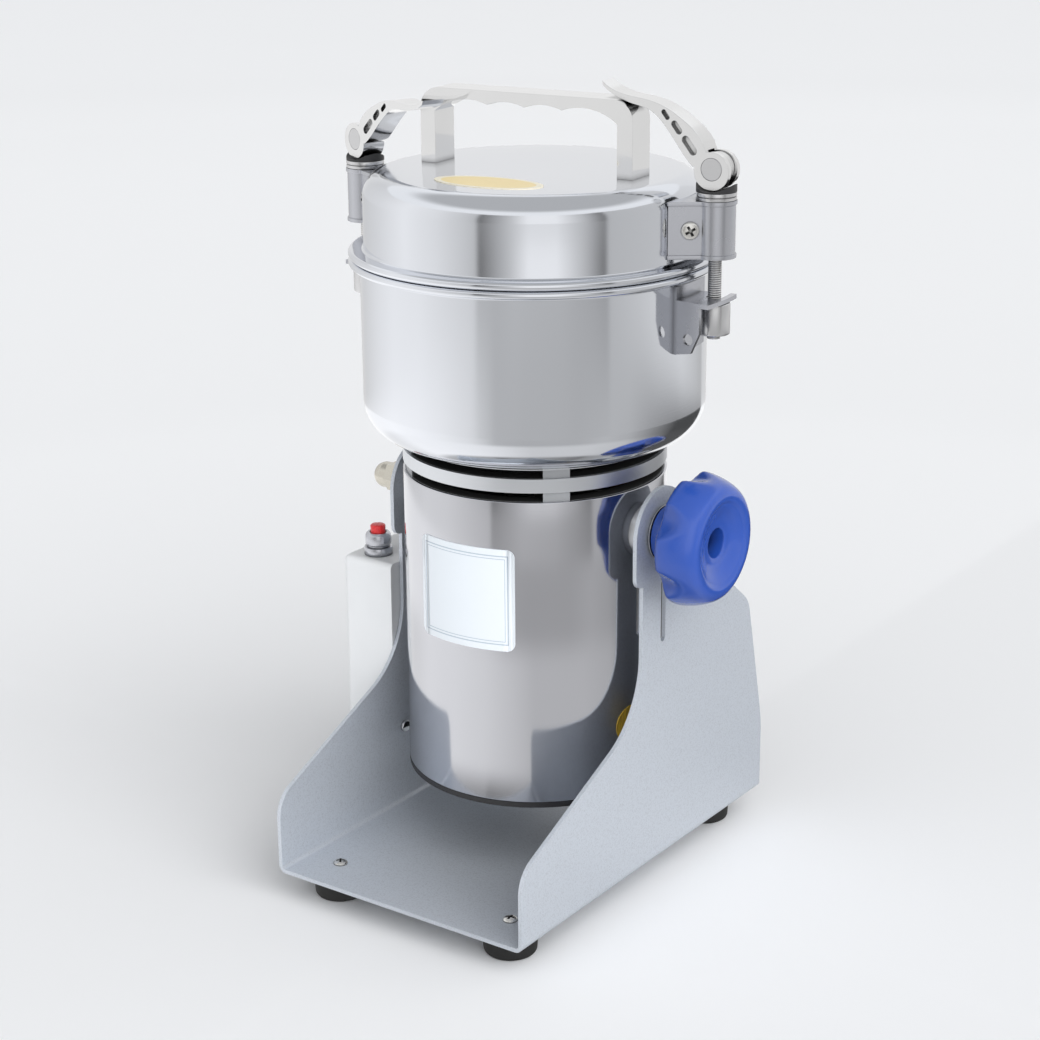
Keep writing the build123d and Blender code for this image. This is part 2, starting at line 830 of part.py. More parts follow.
# Ball bearings at both ends of the shaft
with BuildPart() as bearings:
    with BuildSketch(Plane.XY.offset(upper_bearing_bottom)):
        Circle(upper_bearing_radius)
        Circle(spindle_radius + running_fit, mode=Mode.SUBTRACT)
    extrude(amount=upper_bearing_width)
    with BuildSketch(Plane.XY.offset(lower_bearing_bottom)):
        Circle(lower_bearing_radius)
        Circle(spindle_thread + running_fit, mode=Mode.SUBTRACT)
    extrude(amount=lower_bearing_width)
save(bearings.part, "bearings")

# Bridge that carries the lower bearing and the brush holders
with BuildPart() as bearing_bridge:
    with BuildSketch(Plane.XY.offset(bridge_bottom)):
        Circle(can_inner)
        Circle(can_inner - bridge_rim, mode=Mode.SUBTRACT)
        Circle(lower_bearing_radius + bearing_hub_wall)
        with PolarLocations(0, 2):
            Rectangle(bridge_arm, 2 * can_inner - bridge_rim)
            Rectangle(2 * can_inner - bridge_rim, bridge_arm)
    extrude(amount=bridge_height)
    with BuildSketch(Plane.XY.offset(lower_bearing_bottom)):
        Circle(lower_bearing_radius)
    extrude(amount=lower_bearing_width, mode=Mode.SUBTRACT)
save(bearing_bridge.part, "bearing_bridge")

# Brush holders standing on the bridge, with their carbon brushes
bridge_top = bridge_bottom + bridge_height
holder_width = brush_width + 2 * holder_wall
holder_top = brush_height + brush_thickness / 2 + holder_wall
with BuildPart() as brush_holders:
    for side in (-1, 1):
        with BuildSketch(Plane.XZ.offset(side * holder_start)):
            with Locations((0, bridge_top)):
                Rectangle(holder_width, holder_top - bridge_top, align=(Align.CENTER, Align.MIN))
            with Locations((0, brush_height)):
                Rectangle(brush_width, brush_thickness, mode=Mode.SUBTRACT)
        extrude(amount=side * (holder_end - holder_start))
save(brush_holders.part, "brush_holders")

with BuildPart() as brushes:
    for side in (-1, 1):
        with BuildSketch(Plane.XZ.offset(side * (commutator_radius + air))):
            with Locations((0, brush_height)):
                Rectangle(brush_width, brush_thickness)
        extrude(amount=side * (brush_end - commutator_radius - air))
save(brushes.part, "brushes")

# Bowl with a rolled rim
rivet_angles = [angle + turn for angle in clamps.values() for turn in (-rivet_turn, rivet_turn)]
with BuildPart() as bowl:
    with BuildSketch(Plane.XZ) as wall:
        with BuildLine():
            Polyline(
                (seal_bush_radius, bowl_floor),
                (bowl_radius, bowl_floor),
                (bowl_radius, bowl_top - flange),
                (rim_radius, bowl_top - flange),
                (rim_radius, bowl_top),
                (bowl_inner, bowl_top),
                (bowl_inner, bowl_floor + bowl_wall),
                (seal_bush_radius, bowl_floor + bowl_wall),
                close=True,
            )
        make_face()
        fillet(corner_at(wall, bowl_radius, bowl_floor), bowl_corner)
        fillet(corner_at(wall, bowl_inner, bowl_floor + bowl_wall), bowl_corner - bowl_wall)
        fillet([corner_at(wall, rim_radius, z) for z in (bowl_top - flange, bowl_top)], rim_round)
    revolve(axis=Axis.Z)
    with BuildSketch(Plane.XY.offset(bowl_floor)):
        with PolarLocations(bowl_screw_ring, 4, start_angle=front_post_angle):
            Circle(bowl_screw_radius)
    extrude(amount=bowl_wall, mode=Mode.SUBTRACT)
    for angle in rivet_angles:
        with BuildSketch(radial(angle, bowl_radius + air)):
            with Locations((0, rivet_height)):
                Circle(rivet_radius)
        extrude(amount=-bowl_wall - 2 * air, mode=Mode.SUBTRACT)
save(bowl.part, "bowl")

with BuildPart() as bowl_screws:
    with BuildSketch(Plane.XY.offset(bowl_floor - bowl_screw_depth)):
        with PolarLocations(bowl_screw_ring, 4, start_angle=front_post_angle):
            Circle(bowl_screw_radius)
    extrude(amount=bowl_screw_depth + bowl_wall)
    with BuildSketch(Plane.XY.offset(bowl_floor + bowl_wall)):
        with PolarLocations(bowl_screw_ring, 4, start_angle=front_post_angle):
            Circle(bowl_screw_head)
    extrude(amount=screw_head_height)
    fillet(bowl_screws.edges().group_by(Axis.Z)[-1], screw_head_round)
save(bowl_screws.part, "bowl_screws")

with BuildPart() as shaft_seal:
    with BuildSketch(Plane.XY.offset(bowl_floor)):
        Circle(seal_bush_radius)
        Circle(spindle_radius + air, mode=Mode.SUBTRACT)
    extrude(amount=seal_bush_height)
save(shaft_seal.part, "shaft_seal")

# Three blades with spacers, held by a nut
blade_heights = [blade_bottom + i * blade_pitch for i in range(blade_count)]
with BuildPart() as blades:
    for i, low in enumerate(blade_heights):
        with BuildSketch(plan(i * half_turn / blade_count, low)):
            SlotOverall(2 * blade_reach, blade_width)
            Circle(spindle_radius, mode=Mode.SUBTRACT)
        extrude(amount=blade_thickness)
save(blades.part, "blades")

with BuildPart() as blade_spacers:
    for i, low in enumerate(blade_heights):
        foot = blade_heights[i - 1] + blade_thickness if i else bowl_floor + seal_bush_height + air
        with BuildSketch(Plane.XY.offset(foot)):
            Circle(blade_hub)
            Circle(spindle_radius, mode=Mode.SUBTRACT)
        extrude(amount=low - foot)
save(blade_spacers.part, "blade_spacers")

with BuildPart() as blade_nut:
    with BuildSketch(Plane.XY.offset(blade_stack_top)):
        RegularPolygon(blade_nut_radius, 6)
        Circle(spindle_thread, mode=Mode.SUBTRACT)
    extrude(amount=blade_nut_height)
save(blade_nut.part, "blade_nut")

# Lid with a rolled rim, a spigot and a groove for the seal
seal_inner = (lid_radius + rim_radius - seal_width) / 2
handle_screw_reach = handle_half - handle_leg / 2
with BuildPart() as lid:
    with BuildSketch(Plane.XZ) as wall:
        with BuildLine():
            Polyline(
                (0, lid_top),
                (lid_radius, lid_top),
                (lid_radius, lid_bottom + flange),
                (rim_radius, lid_bottom + flange),
                (rim_radius, lid_bottom),
                (lid_radius, lid_bottom),
                (lid_radius, lid_bottom - spigot_depth),
                (lid_inner, lid_bottom - spigot_depth),
                (lid_inner, lid_top - lid_wall),
                (0, lid_top - lid_wall),
                close=True,
            )
        make_face()
        fillet(corner_at(wall, lid_radius, lid_top), lid_shoulder)
        fillet(corner_at(wall, lid_inner, lid_top - lid_wall), lid_shoulder - lid_wall)
        fillet([corner_at(wall, rim_radius, z) for z in (lid_bottom, lid_bottom + flange)], rim_round)
        with Locations((seal_inner, lid_bottom)):
            Rectangle(seal_width, seal_height, align=(Align.MIN, Align.MIN), mode=Mode.SUBTRACT)
    revolve(axis=Axis.Z)
    with BuildSketch(plan(clamp_turn, lid_top)):
        with Locations((-handle_screw_reach, 0), (handle_screw_reach, 0)):
            Circle(handle_screw_radius)
    extrude(amount=-lid_wall, mode=Mode.SUBTRACT)
save(lid.part, "lid")

with BuildPart() as lid_seal:
    with BuildSketch(Plane.XY.offset(lid_bottom - air / 2)):
        Circle(seal_inner + seal_width)
        Circle(seal_inner, mode=Mode.SUBTRACT)
    extrude(amount=seal_height + air / 2)
save(lid_seal.part, "lid_seal")

# Lid handle with a scalloped finger grip
bar_bottom = handle_top - handle_bar
leg_inner = handle_half - handle_leg
with BuildPart() as handle:
    with BuildSketch(upright(clamp_turn)) as arch:
        with BuildLine():
            Polyline(
                (-leg_inner, bar_bottom - scallop_end),
                (-leg_inner, lid_top),
                (-handle_half, lid_top),
                (-handle_half, handle_top),
                (handle_half, handle_top),
                (handle_half, lid_top),
                (leg_inner, lid_top),
                (leg_inner, bar_bottom - scallop_end),
            )
            for side in (-1, 1):
                ThreePointArc(
                    (0, bar_bottom),
                    (side * scallop_pitch / 2, bar_bottom + scallop_rise),
                    (side * scallop_pitch, bar_bottom),
                )
                ThreePointArc(
                    (side * scallop_pitch, bar_bottom),
                    (side * scallop_pitch * outer_scallop_share, bar_bottom + scallop_rise),
                    (side * leg_inner, bar_bottom - scallop_end),
                )
        make_face()
        fillet([corner_at(arch, x, handle_top) for x in (-handle_half, handle_half)], handle_corner)
    extrude(amount=handle_depth / 2, both=True)
    with BuildSketch(plan(clamp_turn, lid_top)):
        with Locations((-handle_screw_reach, 0), (handle_screw_reach, 0)):
            Circle(handle_screw_radius)
    extrude(amount=handle_screw_depth, mode=Mode.SUBTRACT)
save(handle.part, "handle")

with BuildPart() as handle_screws:
    with BuildSketch(plan(clamp_turn, lid_top - lid_wall)):
        with Locations((-handle_screw_reach, 0), (handle_screw_reach, 0)):
            Circle(handle_screw_radius)
    extrude(amount=lid_wall + handle_screw_depth)
    with BuildSketch(plan(clamp_turn, lid_top - lid_wall - screw_head_height)):
        with Locations((-handle_screw_reach, 0), (handle_screw_reach, 0)):
            Circle(handle_screw_head)
    extrude(amount=screw_head_height)
save(handle_screws.part, "handle_screws")

# Plain oval label on the lid
with BuildPart() as lid_label:
    with BuildSketch(plan(clamp_turn, lid_top)):
        with Locations((lid_label_shift, -lid_label_offset)):
            Ellipse(lid_label_length / 2, lid_label_width / 2)
    extrude(amount=label_thickness)
save(lid_label.part, "lid_label")

# Clamp blocks with lipped ends on the lid wall, and their flank screws
block_middle = block_bottom + block_plate + block_height / 2
flank_start = math.sqrt(lid_radius ** 2 - block_spread ** 2) + air
flank = math.degrees(math.atan2(block_spread - block_waist, rod_reach - flank_start))


def block_outline(angle, height, lap):
    """Plan of a clamp block: flanks running from the lid wall to a round nose."""
    with BuildSketch(plan(angle, height), mode=Mode.PRIVATE) as outline:
        with BuildLine():
            Polyline(
                (lid_inner - block_spread, -block_spread),
                (flank_start, -block_spread),
                (rod_reach, -block_waist),
                (rod_reach, block_waist),
                (flank_start, block_spread),
                (lid_inner - block_spread, block_spread),
                close=True,
            )
        make_face()
        with Locations((rod_reach, 0)):
            Circle(block_nose)
        if lap:
            offset(amount=lap)
        with Locations((rod_reach, 0)):
            Circle(rod_radius + running_fit, mode=Mode.SUBTRACT)
    return outline.sketch


def flank_planes():
    """Planes on the block flanks at the screws, facing out."""
    planes = []
    for angle in clamps.values():
        a = math.radians(angle)
        for side in (-1, 1):
            out = flank_start + block_screw_along * math.cos(math.radians(flank))
            across = side * (block_spread - block_screw_along * math.sin(math.radians(flank)))
            facing = a + side * math.radians(90 - flank)
            planes.append(
                Plane(
                    (
                        out * math.cos(a) - across * math.sin(a),
                        out * math.sin(a) + across * math.cos(a),
                        block_middle,
                    ),
                    x_dir=(0, 0, 1),
                    z_dir=(math.cos(facing), math.sin(facing), 0),
                )
            )
    return planes


with BuildPart() as clamp_blocks:
    for angle in clamps.values():
        extrude(block_outline(angle, block_bottom, 0), amount=block_top - block_bottom)
        for low in (block_bottom, block_top - block_plate):
            extrude(block_outline(angle, low, block_lap), amount=block_plate)
    with BuildSketch(Plane.XY.offset(block_bottom)):
        Circle(lid_radius)
    extrude(amount=block_top - block_bottom, mode=Mode.SUBTRACT)
    for plane in flank_planes():
        with BuildSketch(plane):
            Circle(block_screw_radius)
        extrude(amount=-block_screw_depth, mode=Mode.SUBTRACT)
save(clamp_blocks.part, "clamp_blocks")

with BuildPart() as block_screws:
    for plane in flank_planes():
        with BuildSketch(plane):
            Circle(block_screw_radius)
        extrude(amount=-block_screw_depth)
        with BuildSketch(plane):
            Circle(block_screw_head)
        extrude(amount=screw_head_height)
        with BuildSketch(plane.offset(screw_head_height)):
            Rectangle(cross_length, cross_width)
            Rectangle(cross_width, cross_length)
        extrude(amount=-cross_depth, mode=Mode.SUBTRACT)
save(block_screws.part, "block_screws")

# Swivelling clamps: washer, saddle, eye rod, nut, cam lever and pin on each side
lever_pose = {"right": (0, 0), "left": (left_lever_twist, left_lever_drop)}

def rod_plane(side, height):
    """Level plane on a clamp rod, turned as the clamp is turned."""
    angle = clamps[side]
    a = math.radians(angle)
    t = math.radians(angle + lever_pose[side][0])
    return Plane(
        (rod_reach * math.cos(a), rod_reach * math.sin(a), height),
        x_dir=(-math.cos(t), -math.sin(t), 0),
        z_dir=(0, 0, 1),
    )


def pin_plane(side):
    """Standing plane through a lever pin: x towards the lid, y up."""
    level = rod_plane(side, pin_height)
    return Plane(level.origin, x_dir=level.x_dir, z_dir=level.x_dir.cross(Vector(0, 0, 1)))


def make_washer(side):
    with BuildPart() as washer:
        with BuildSketch(rod_plane(side, block_top)):
            Circle(washer_radius)
            Circle(rod_radius + air, mode=Mode.SUBTRACT)
        extrude(amount=washer_height)
    return washer.part


def make_saddle(side):
    with BuildPart() as saddle:
        with BuildSketch(rod_plane(side, washer_top)):
            Circle(washer_radius)
            Circle(rod_radius + air, mode=Mode.SUBTRACT)
        extrude(amount=saddle_height)
        with BuildSketch(pin_plane(side)):
            with Locations((0, washer_top + saddle_floor + saddle_hollow - pin_height)):
                Circle(saddle_hollow)
        extrude(amount=washer_radius, both=True, mode=Mode.SUBTRACT)
    return saddle.part


def make_eye_rod(side):
    with BuildPart() as eye_rod:
        with BuildSketch(rod_plane(side, rod_nut_bottom - rod_end)):
            Circle(rod_radius)
        extrude(amount=pin_height - eye_radius / 2 - rod_nut_bottom + rod_end)
        with BuildSketch(pin_plane(side)):
            Circle(eye_radius)
        extrude(amount=eye_thickness / 2, both=True)
        with BuildSketch(pin_plane(side)):
            Circle(pin_radius + running_fit)
        extrude(amount=eye_thickness, both=True, mode=Mode.SUBTRACT)
    return eye_rod.part


def make_rod_nut(side):
    with BuildPart() as rod_nut:
        with BuildSketch(rod_plane(side, rod_nut_bottom)):
            Circle(rod_nut_radius)
            Circle(rod_radius, mode=Mode.SUBTRACT)
        extrude(amount=rod_nut_height)
    return rod_nut.part


def lever_place(along, rise):
    """Point on a lever, from its pin, for shares of the room up to the handle's corner."""
    return (along * (rod_reach - handle_half), rise * (handle_top - pin_height))


def make_lever(side):
    flat = turned(pin_plane(side), -lever_pose[side][1])
    fork = eye_thickness + 2 * air
    with BuildPart() as lever:
        with BuildSketch(flat):
            with BuildLine():
                top = Spline(*[lever_place(*point) for point in lever_upper])
                low = Spline(*[lever_place(*point) for point in lever_lower])
                Line(top @ 1, low @ 0)
                Polyline(low @ 1, (0, 0), top @ 0)
            make_face()
        extrude(amount=lever_width / 2, both=True)
        with BuildSketch(flat):
            with Locations((0, -cam_offset)):
                Circle(cam_radius)
        extrude(amount=lever_width / 2, both=True)
        with BuildSketch(flat):
            Circle(eye_radius + fork_room)
            with Locations((eye_radius - fork_room, eye_radius + fork_room)):
                Rectangle(4 * eye_radius, 4 * eye_radius, align=(Align.MAX, Align.MAX))
        extrude(amount=fork / 2, both=True, mode=Mode.SUBTRACT)
        for face in (-1, 1):
            with BuildSketch(flat.offset(face * lever_width / 2)):
                Circle(pin_head_radius)
            extrude(amount=-face * pin_head_height, mode=Mode.SUBTRACT)
            for place, length, width in lever_pockets:
                with BuildSketch(flat.offset(face * lever_width / 2)):
                    with Locations(lever_place(*place)):
                        SlotOverall(
                            length * (rod_reach - handle_half),
                            width * (rod_reach - handle_half),
                            rotation=lever_pocket_slope,
                        )
                extrude(amount=-face * lever_pocket_depth, mode=Mode.SUBTRACT)
        with BuildSketch(flat):
            Circle(pin_radius)
        extrude(amount=lever_width, both=True, mode=Mode.SUBTRACT)
    return lever.part


def make_pin(side):
    with BuildPart() as pin:
        with BuildSketch(pin_plane(side)):
            Circle(pin_radius)
        extrude(amount=lever_width / 2, both=True)
        for face in (-1, 1):
            with BuildSketch(pin_plane(side).offset(face * lever_width / 2)):
                Circle(pin_head_radius)
            extrude(amount=-face * pin_head_height)
    return pin.part


for side in clamps:
    save(make_washer(side), f"{side}_thrust_washer")
    save(make_saddle(side), f"{side}_saddle")
    save(make_eye_rod(side), f"{side}_eye_rod")
    save(make_rod_nut(side), f"{side}_rod_nut")
    save(make_lever(side), f"{side}_cam_lever")
    save(make_pin(side), f"{side}_lever_pin")

# Fork brackets on the bowl that catch the rods, with their rivets
bracket_outer = bowl_radius + bracket_sheet
fork_length = fork_reach - bowl_radius - bracket_sheet / 2
with BuildPart() as fork_brackets:
    for angle in clamps.values():
        with BuildSketch(upright(angle - fork_half_angle)):
            with Locations((bowl_radius, bracket_bottom)):
                Rectangle(bracket_sheet, bracket_top - bracket_bottom, align=(Align.MIN, Align.MIN))
        revolve(axis=Axis.Z, revolution_arc=2 * fork_half_angle)
        with BuildSketch(upright(angle - fork_half_angle)):
            with Locations((bowl_radius + bracket_sheet / 2, fork_top)):
                Rectangle(fork_length, fork_sheet, align=(Align.MIN, Align.MAX))
        revolve(axis=Axis.Z, revolution_arc=fork_half_angle + fork_end_angle)
        with BuildSketch(upright(angle)):
            with Locations((rod_reach, fork_top)):
                Rectangle(2 * fork_slot_half, 2 * fork_sheet)
        revolve(axis=Axis.Z, revolution_arc=2 * fork_half_angle, mode=Mode.SUBTRACT)
        with BuildSketch(plan(angle, fork_top - fork_sheet)):
            with Locations((rod_reach, 0)):
                Circle(fork_slot_half)
        extrude(amount=fork_sheet, mode=Mode.SUBTRACT)
        with BuildSketch(upright(angle - fork_half_angle)):
            with BuildLine():
                Polyline(
                    (bowl_radius + bracket_sheet / 2, fork_top - fork_sheet),
                    (cheek_reach, fork_top - fork_sheet),
                    (cheek_reach, fork_top - cheek_drop),
                    (cheek_reach - cheek_slant, bracket_bottom + bracket_sheet),
                    (bowl_radius + bracket_sheet / 2, bracket_bottom),
                    close=True,
                )
            make_face()
            with Locations((cheek_hole_reach, cheek_hole_height)):
                Circle(cheek_hole_radius, mode=Mode.SUBTRACT)
        extrude(amount=-bracket_sheet)
    for angle in rivet_angles:
        with BuildSketch(radial(angle, bracket_outer + air)):
            with Locations((0, rivet_height)):
                Circle(rivet_radius)
        extrude(amount=-bracket_sheet - 2 * air, mode=Mode.SUBTRACT)
save(fork_brackets.part, "fork_brackets")

with BuildPart() as bracket_rivets:
    for angle in rivet_angles:
        with BuildSketch(radial(angle, bracket_outer)):
            with Locations((0, rivet_height)):
                Circle(rivet_radius)
        extrude(amount=-bracket_sheet - bowl_wall)
        with BuildSketch(radial(angle, bracket_outer)):
            with Locations((0, rivet_height)):
                Circle(rivet_head)
        extrude(amount=rivet_head_height)
save(bracket_rivets.part, "bracket_rivets")

# Blank rating plate and round label on the can
with BuildPart() as rating_plate:
    with BuildSketch(upright(rating_start)):
        with Locations((motor_radius, rating_bottom)):
            Rectangle(rating_thickness, rating_top - rating_bottom, align=(Align.MIN, Align.MIN))
    revolve(axis=Axis.Z, revolution_arc=rating_end - rating_start)
    fillet(rating_plate.edges().filter_by(lambda e: e.length < 2 * rating_thickness), rating_corner)
save(rating_plate.part, "rating_plate")

with BuildPart() as round_label:
    with BuildSketch(Plane.XY.offset(round_label_height - round_label_radius)):
        Circle(motor_radius + label_thickness)
        Circle(motor_radius, mode=Mode.SUBTRACT)
    extrude(amount=2 * round_label_radius)
    with BuildSketch(radial(round_label_angle, can_inner - round_label_radius)):
        with Locations((0, round_label_height)):
            Circle(round_label_radius)
    extrude(amount=2 * round_label_radius, mode=Mode.INTERSECT)
save(round_label.part, "round_label")

# Switch box on the left plate and the screws that hold it
breaker_x = -ear_outer - breaker_out
with BuildPart() as switch_box:
    with BuildSketch(Plane.YZ.offset(-ear_outer)):
        with Locations((-box_front, box_bottom)):
            Rectangle(box_front + box_rear, box_top - box_bottom, align=(Align.MIN, Align.MIN))
    extrude(amount=-box_depth)
    fillet(switch_box.edges().filter_by(lambda e: e.center().X < -ear_outer - air), box_round)
    with BuildSketch(Plane.YZ.offset(-ear_outer)):
        with Locations((box_wall - box_front, box_bottom + box_wall)):
            Rectangle(
                box_front + box_rear - 2 * box_wall,
                box_top - box_bottom - 2 * box_wall,
                align=(Align.MIN, Align.MIN),
            )
    extrude(amount=box_wall - box_depth, mode=Mode.SUBTRACT)
    with BuildSketch(Plane.YZ.offset(-ear_outer)):
        with Locations(*box_screw_places):
            Circle(box_post_radius)
    extrude(amount=box_wall - box_depth)
    with BuildSketch(Plane.YZ.offset(-ear_outer)):
        with Locations(*box_screw_places):
            Circle(box_screw_radius)
    extrude(amount=-box_screw_depth, mode=Mode.SUBTRACT)
    with BuildSketch(Plane.XY.offset(box_top)):
        with Locations((breaker_x, -breaker_forward)):
            Circle(breaker_spigot_radius)
    extrude(amount=-box_wall, mode=Mode.SUBTRACT)
    with BuildSketch(Plane.YZ.offset(-box_outer)):
        with Locations((box_middle, switch_height)):
            Rectangle(rocker_width + 2 * switch_wall, rocker_length + 2 * switch_wall)
    extrude(amount=box_wall, mode=Mode.SUBTRACT)
    with BuildSketch(Plane.XZ.offset(-box_rear)):
        with Locations((breaker_x, inlet_height)):
            Circle(inlet_spigot_radius)
    extrude(amount=box_wall, mode=Mode.SUBTRACT)
save(switch_box.part, "switch_box")

with BuildPart() as box_screws:
    with BuildSketch(Plane.YZ.offset(-ear_inner)):
        with Locations(*box_screw_places):
            Circle(box_screw_radius)
    extrude(amount=-sheet - box_screw_depth)
    with BuildSketch(Plane.YZ.offset(-ear_inner)):
        with Locations(*box_screw_places):
            Circle(box_screw_head)
    extrude(amount=screw_head_height)
save(box_screws.part, "box_screws")

# Circuit breaker: body inside the box with a neck through its top, and the reset button
with BuildPart() as breaker:
    with BuildSketch(Plane.XY.offset(box_top - box_wall)):
        with Locations((breaker_x, -breaker_forward)):
            Rectangle(breaker_body_width, breaker_body_width)
    extrude(amount=-breaker_body_height)
    with BuildSketch(Plane.XY.offset(box_top - box_wall)):
        with Locations((breaker_x, -breaker_forward)):
            Circle(breaker_spigot_radius)
    extrude(amount=box_wall)
    with BuildSketch(Plane.XY.offset(box_top)):
        with Locations((breaker_x, -breaker_forward)):
            Circle(breaker_neck_radius)
            Circle(button_radius + air, mode=Mode.SUBTRACT)
    extrude(amount=breaker_neck_height)
save(breaker.part, "breaker")

with BuildPart() as reset_button:
    with BuildSketch(Plane.XY.offset(box_top + breaker_neck_height - button_depth)):
        with Locations((breaker_x, -breaker_forward)):
            Circle(button_radius)
    extrude(amount=button_depth + button_rise)
    fillet(reset_button.edges().group_by(Axis.Z)[-1], button_round)
save(reset_button.part, "reset_button")

# Rocker switch in the outer face of the box
rocker_axis_out = box_outer + switch_frame_depth - rocker_axis_depth
rocker_plane = Plane(
    (-rocker_axis_out, box_middle, switch_height), x_dir=(-1, 0, 0), z_dir=(0, 1, 0)
)
with BuildPart() as switch_body:
    with BuildSketch(Plane.YZ.offset(-box_outer)):
        with Locations((box_middle, switch_height)):
            Rectangle(rocker_width + 2 * switch_frame, rocker_length + 2 * switch_frame)
    extrude(amount=-switch_frame_depth)
    with BuildSketch(Plane.YZ.offset(-box_outer)):
        with Locations((box_middle, switch_height)):
            Rectangle(rocker_width + 2 * switch_wall, rocker_length + 2 * switch_wall)
    extrude(amount=switch_body_depth)
    with BuildSketch(Plane.YZ.offset(-box_outer - switch_frame_depth)):
        with Locations((box_middle, switch_height)):
            Rectangle(rocker_width, rocker_length)
    extrude(amount=switch_frame_depth + switch_body_depth - switch_wall, mode=Mode.SUBTRACT)
    with BuildSketch(rocker_plane):
        Circle(rocker_pin_radius + running_fit)
    extrude(amount=rocker_width / 2 + switch_wall, both=True, mode=Mode.SUBTRACT)
save(switch_body.part, "switch_body")

rocker_half = rocker_length / 2 - rocker_end_room
with BuildPart() as switch_rocker:
    with BuildSketch(turned(rocker_plane, -rocker_swing / 2)):
        with BuildLine():
            Polyline(
                (rocker_axis_depth, 0),
                (rocker_axis_depth + rocker_rise, rocker_half),
                (0, rocker_half),
                (-rocker_axis_depth, 0),
                (0, -rocker_half),
                (rocker_axis_depth + rocker_rise, -rocker_half),
                close=True,
            )
        make_face()
    extrude(amount=rocker_width / 2 - air, both=True)
    with BuildSketch(rocker_plane):
        Circle(rocker_pin_radius)
    extrude(amount=rocker_width / 2 + switch_wall / 2, both=True)
save(switch_rocker.part, "switch_rocker")

# Bush where the supply cord enters the box
with BuildPart() as cord_bush:
    with BuildSketch(Plane.XZ.offset(-box_rear)):
        with Locations((breaker_x, inlet_height)):
            Circle(inlet_radius)
    extrude(amount=-inlet_length)
    with BuildSketch(Plane.XZ.offset(-box_rear)):
        with Locations((breaker_x, inlet_height)):
            Circle(inlet_spigot_radius)
    extrude(amount=box_wall)
    with BuildSketch(Plane.XZ.offset(-box_rear - inlet_length)):
        with Locations((breaker_x, inlet_height)):
            Circle(inlet_bore)
    extrude(amount=inlet_length + box_wall, mode=Mode.SUBTRACT)
save(cord_bush.part, "cord_bush")
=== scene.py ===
"""Electric spice grinder: polished bowl and clamped lid on a motor can that tilts in a bent sheet stand."""

import json
import math

import bpy
from mathutils import Matrix, Vector


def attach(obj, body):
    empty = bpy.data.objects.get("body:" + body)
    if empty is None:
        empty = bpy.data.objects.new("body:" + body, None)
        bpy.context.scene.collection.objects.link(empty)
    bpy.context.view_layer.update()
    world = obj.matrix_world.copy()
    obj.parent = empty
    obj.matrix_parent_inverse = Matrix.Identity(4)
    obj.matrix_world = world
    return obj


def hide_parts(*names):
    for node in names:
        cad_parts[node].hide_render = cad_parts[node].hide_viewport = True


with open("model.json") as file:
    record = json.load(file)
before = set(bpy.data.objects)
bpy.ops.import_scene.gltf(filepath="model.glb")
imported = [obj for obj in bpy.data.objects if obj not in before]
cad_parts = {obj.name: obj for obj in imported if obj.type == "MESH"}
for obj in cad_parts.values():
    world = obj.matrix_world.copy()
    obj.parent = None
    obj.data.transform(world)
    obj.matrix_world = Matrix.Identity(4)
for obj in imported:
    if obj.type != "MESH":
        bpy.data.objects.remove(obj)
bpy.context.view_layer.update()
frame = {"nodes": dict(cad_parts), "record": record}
nodes = frame["nodes"]

# Sizes in millimetres, as in the solids
MM = 0.001
AXIS_BACK = 7.35
PIVOT_HEIGHT = 179.5
MOTOR_RADIUS = 62.4
CAN_SHEET = 1.0
CAN_BOTTOM = 53.4
CAN_TOP = 200.6
SHEET = 1.6
BOWL_FLOOR = 217.0
BOWL_RADIUS = 80.0
BOWL_CORNER = 18.0
BOWL_TOP = 301.6
SHAFT_HOLE = 11.0
RIM_RADIUS = 85.2
RIM_LIP = 1.7
FLANGE = 3.6
LID_BOTTOM = 301.9
LID_RADIUS = 78.1
LID_SHOULDER = 11.0
LID_TOP = 340.45
LID_SPIGOT = 5.0
SEAL_INNER = 80.4
SEAL_OUTER = 82.9
SEAL_DEPTH = 1.4
CLAMP_TURN = 5.0
ROD_REACH = 92.0
BLOCK_SPREAD = 16.0
BLOCK_WAIST = 6.5
BLOCK_SCREW_HEIGHT = 321.3
KNOB_FACE = 72.6
FOOT_ACROSS = 50.0
BASE_BACK = 105.95
FOOT_INSET = 20.4
FOOT_BACK = BASE_BACK - FOOT_INSET
BASE_TOP = 15.0
BREAKER_ACROSS = -87.0
BREAKER_BACK = AXIS_BACK - 12.0
BREAKER_CASE_SIZE = (16.0, 16.0, 32.0)
BREAKER_CASE_HEIGHT = 123.6
BOX_BACK_SIZE = (0.8, 47.8, 87.8)
BOX_BACK_MIDDLE = (-71.6, AXIS_BACK + 3.0, 96.0)

# Meshing: smallest ring on an axis in mm, sides of round pieces, angles in degrees
AXIS_RING = 1e-3
SIDES_OF_SHEET = 224
SIDES_OF_KNOB = 240
SIDES_OF_FITTING = 96
SIDES_OF_NUT = 72
SIDES_OF_BUTTON = 64
SIDES_OF_SCREW = 48
SMOOTH_ANGLE = 35.0
FLAT_ANGLE = 0.4


# Selecting, shaping and placing
def clear_selection():
    if bpy.context.mode != "OBJECT":
        bpy.ops.object.mode_set(mode="OBJECT")
    bpy.ops.object.select_all(action="DESELECT")


def take(piece):
    clear_selection()
    piece.select_set(True)
    bpy.context.view_layer.objects.active = piece


def edit_all(piece):
    take(piece)
    bpy.ops.object.mode_set(mode="EDIT")
    bpy.ops.mesh.select_mode(type="VERT")
    bpy.ops.mesh.select_all(action="SELECT")


def smooth_below(angle):
    bpy.ops.object.shade_smooth_by_angle(angle=math.radians(angle))


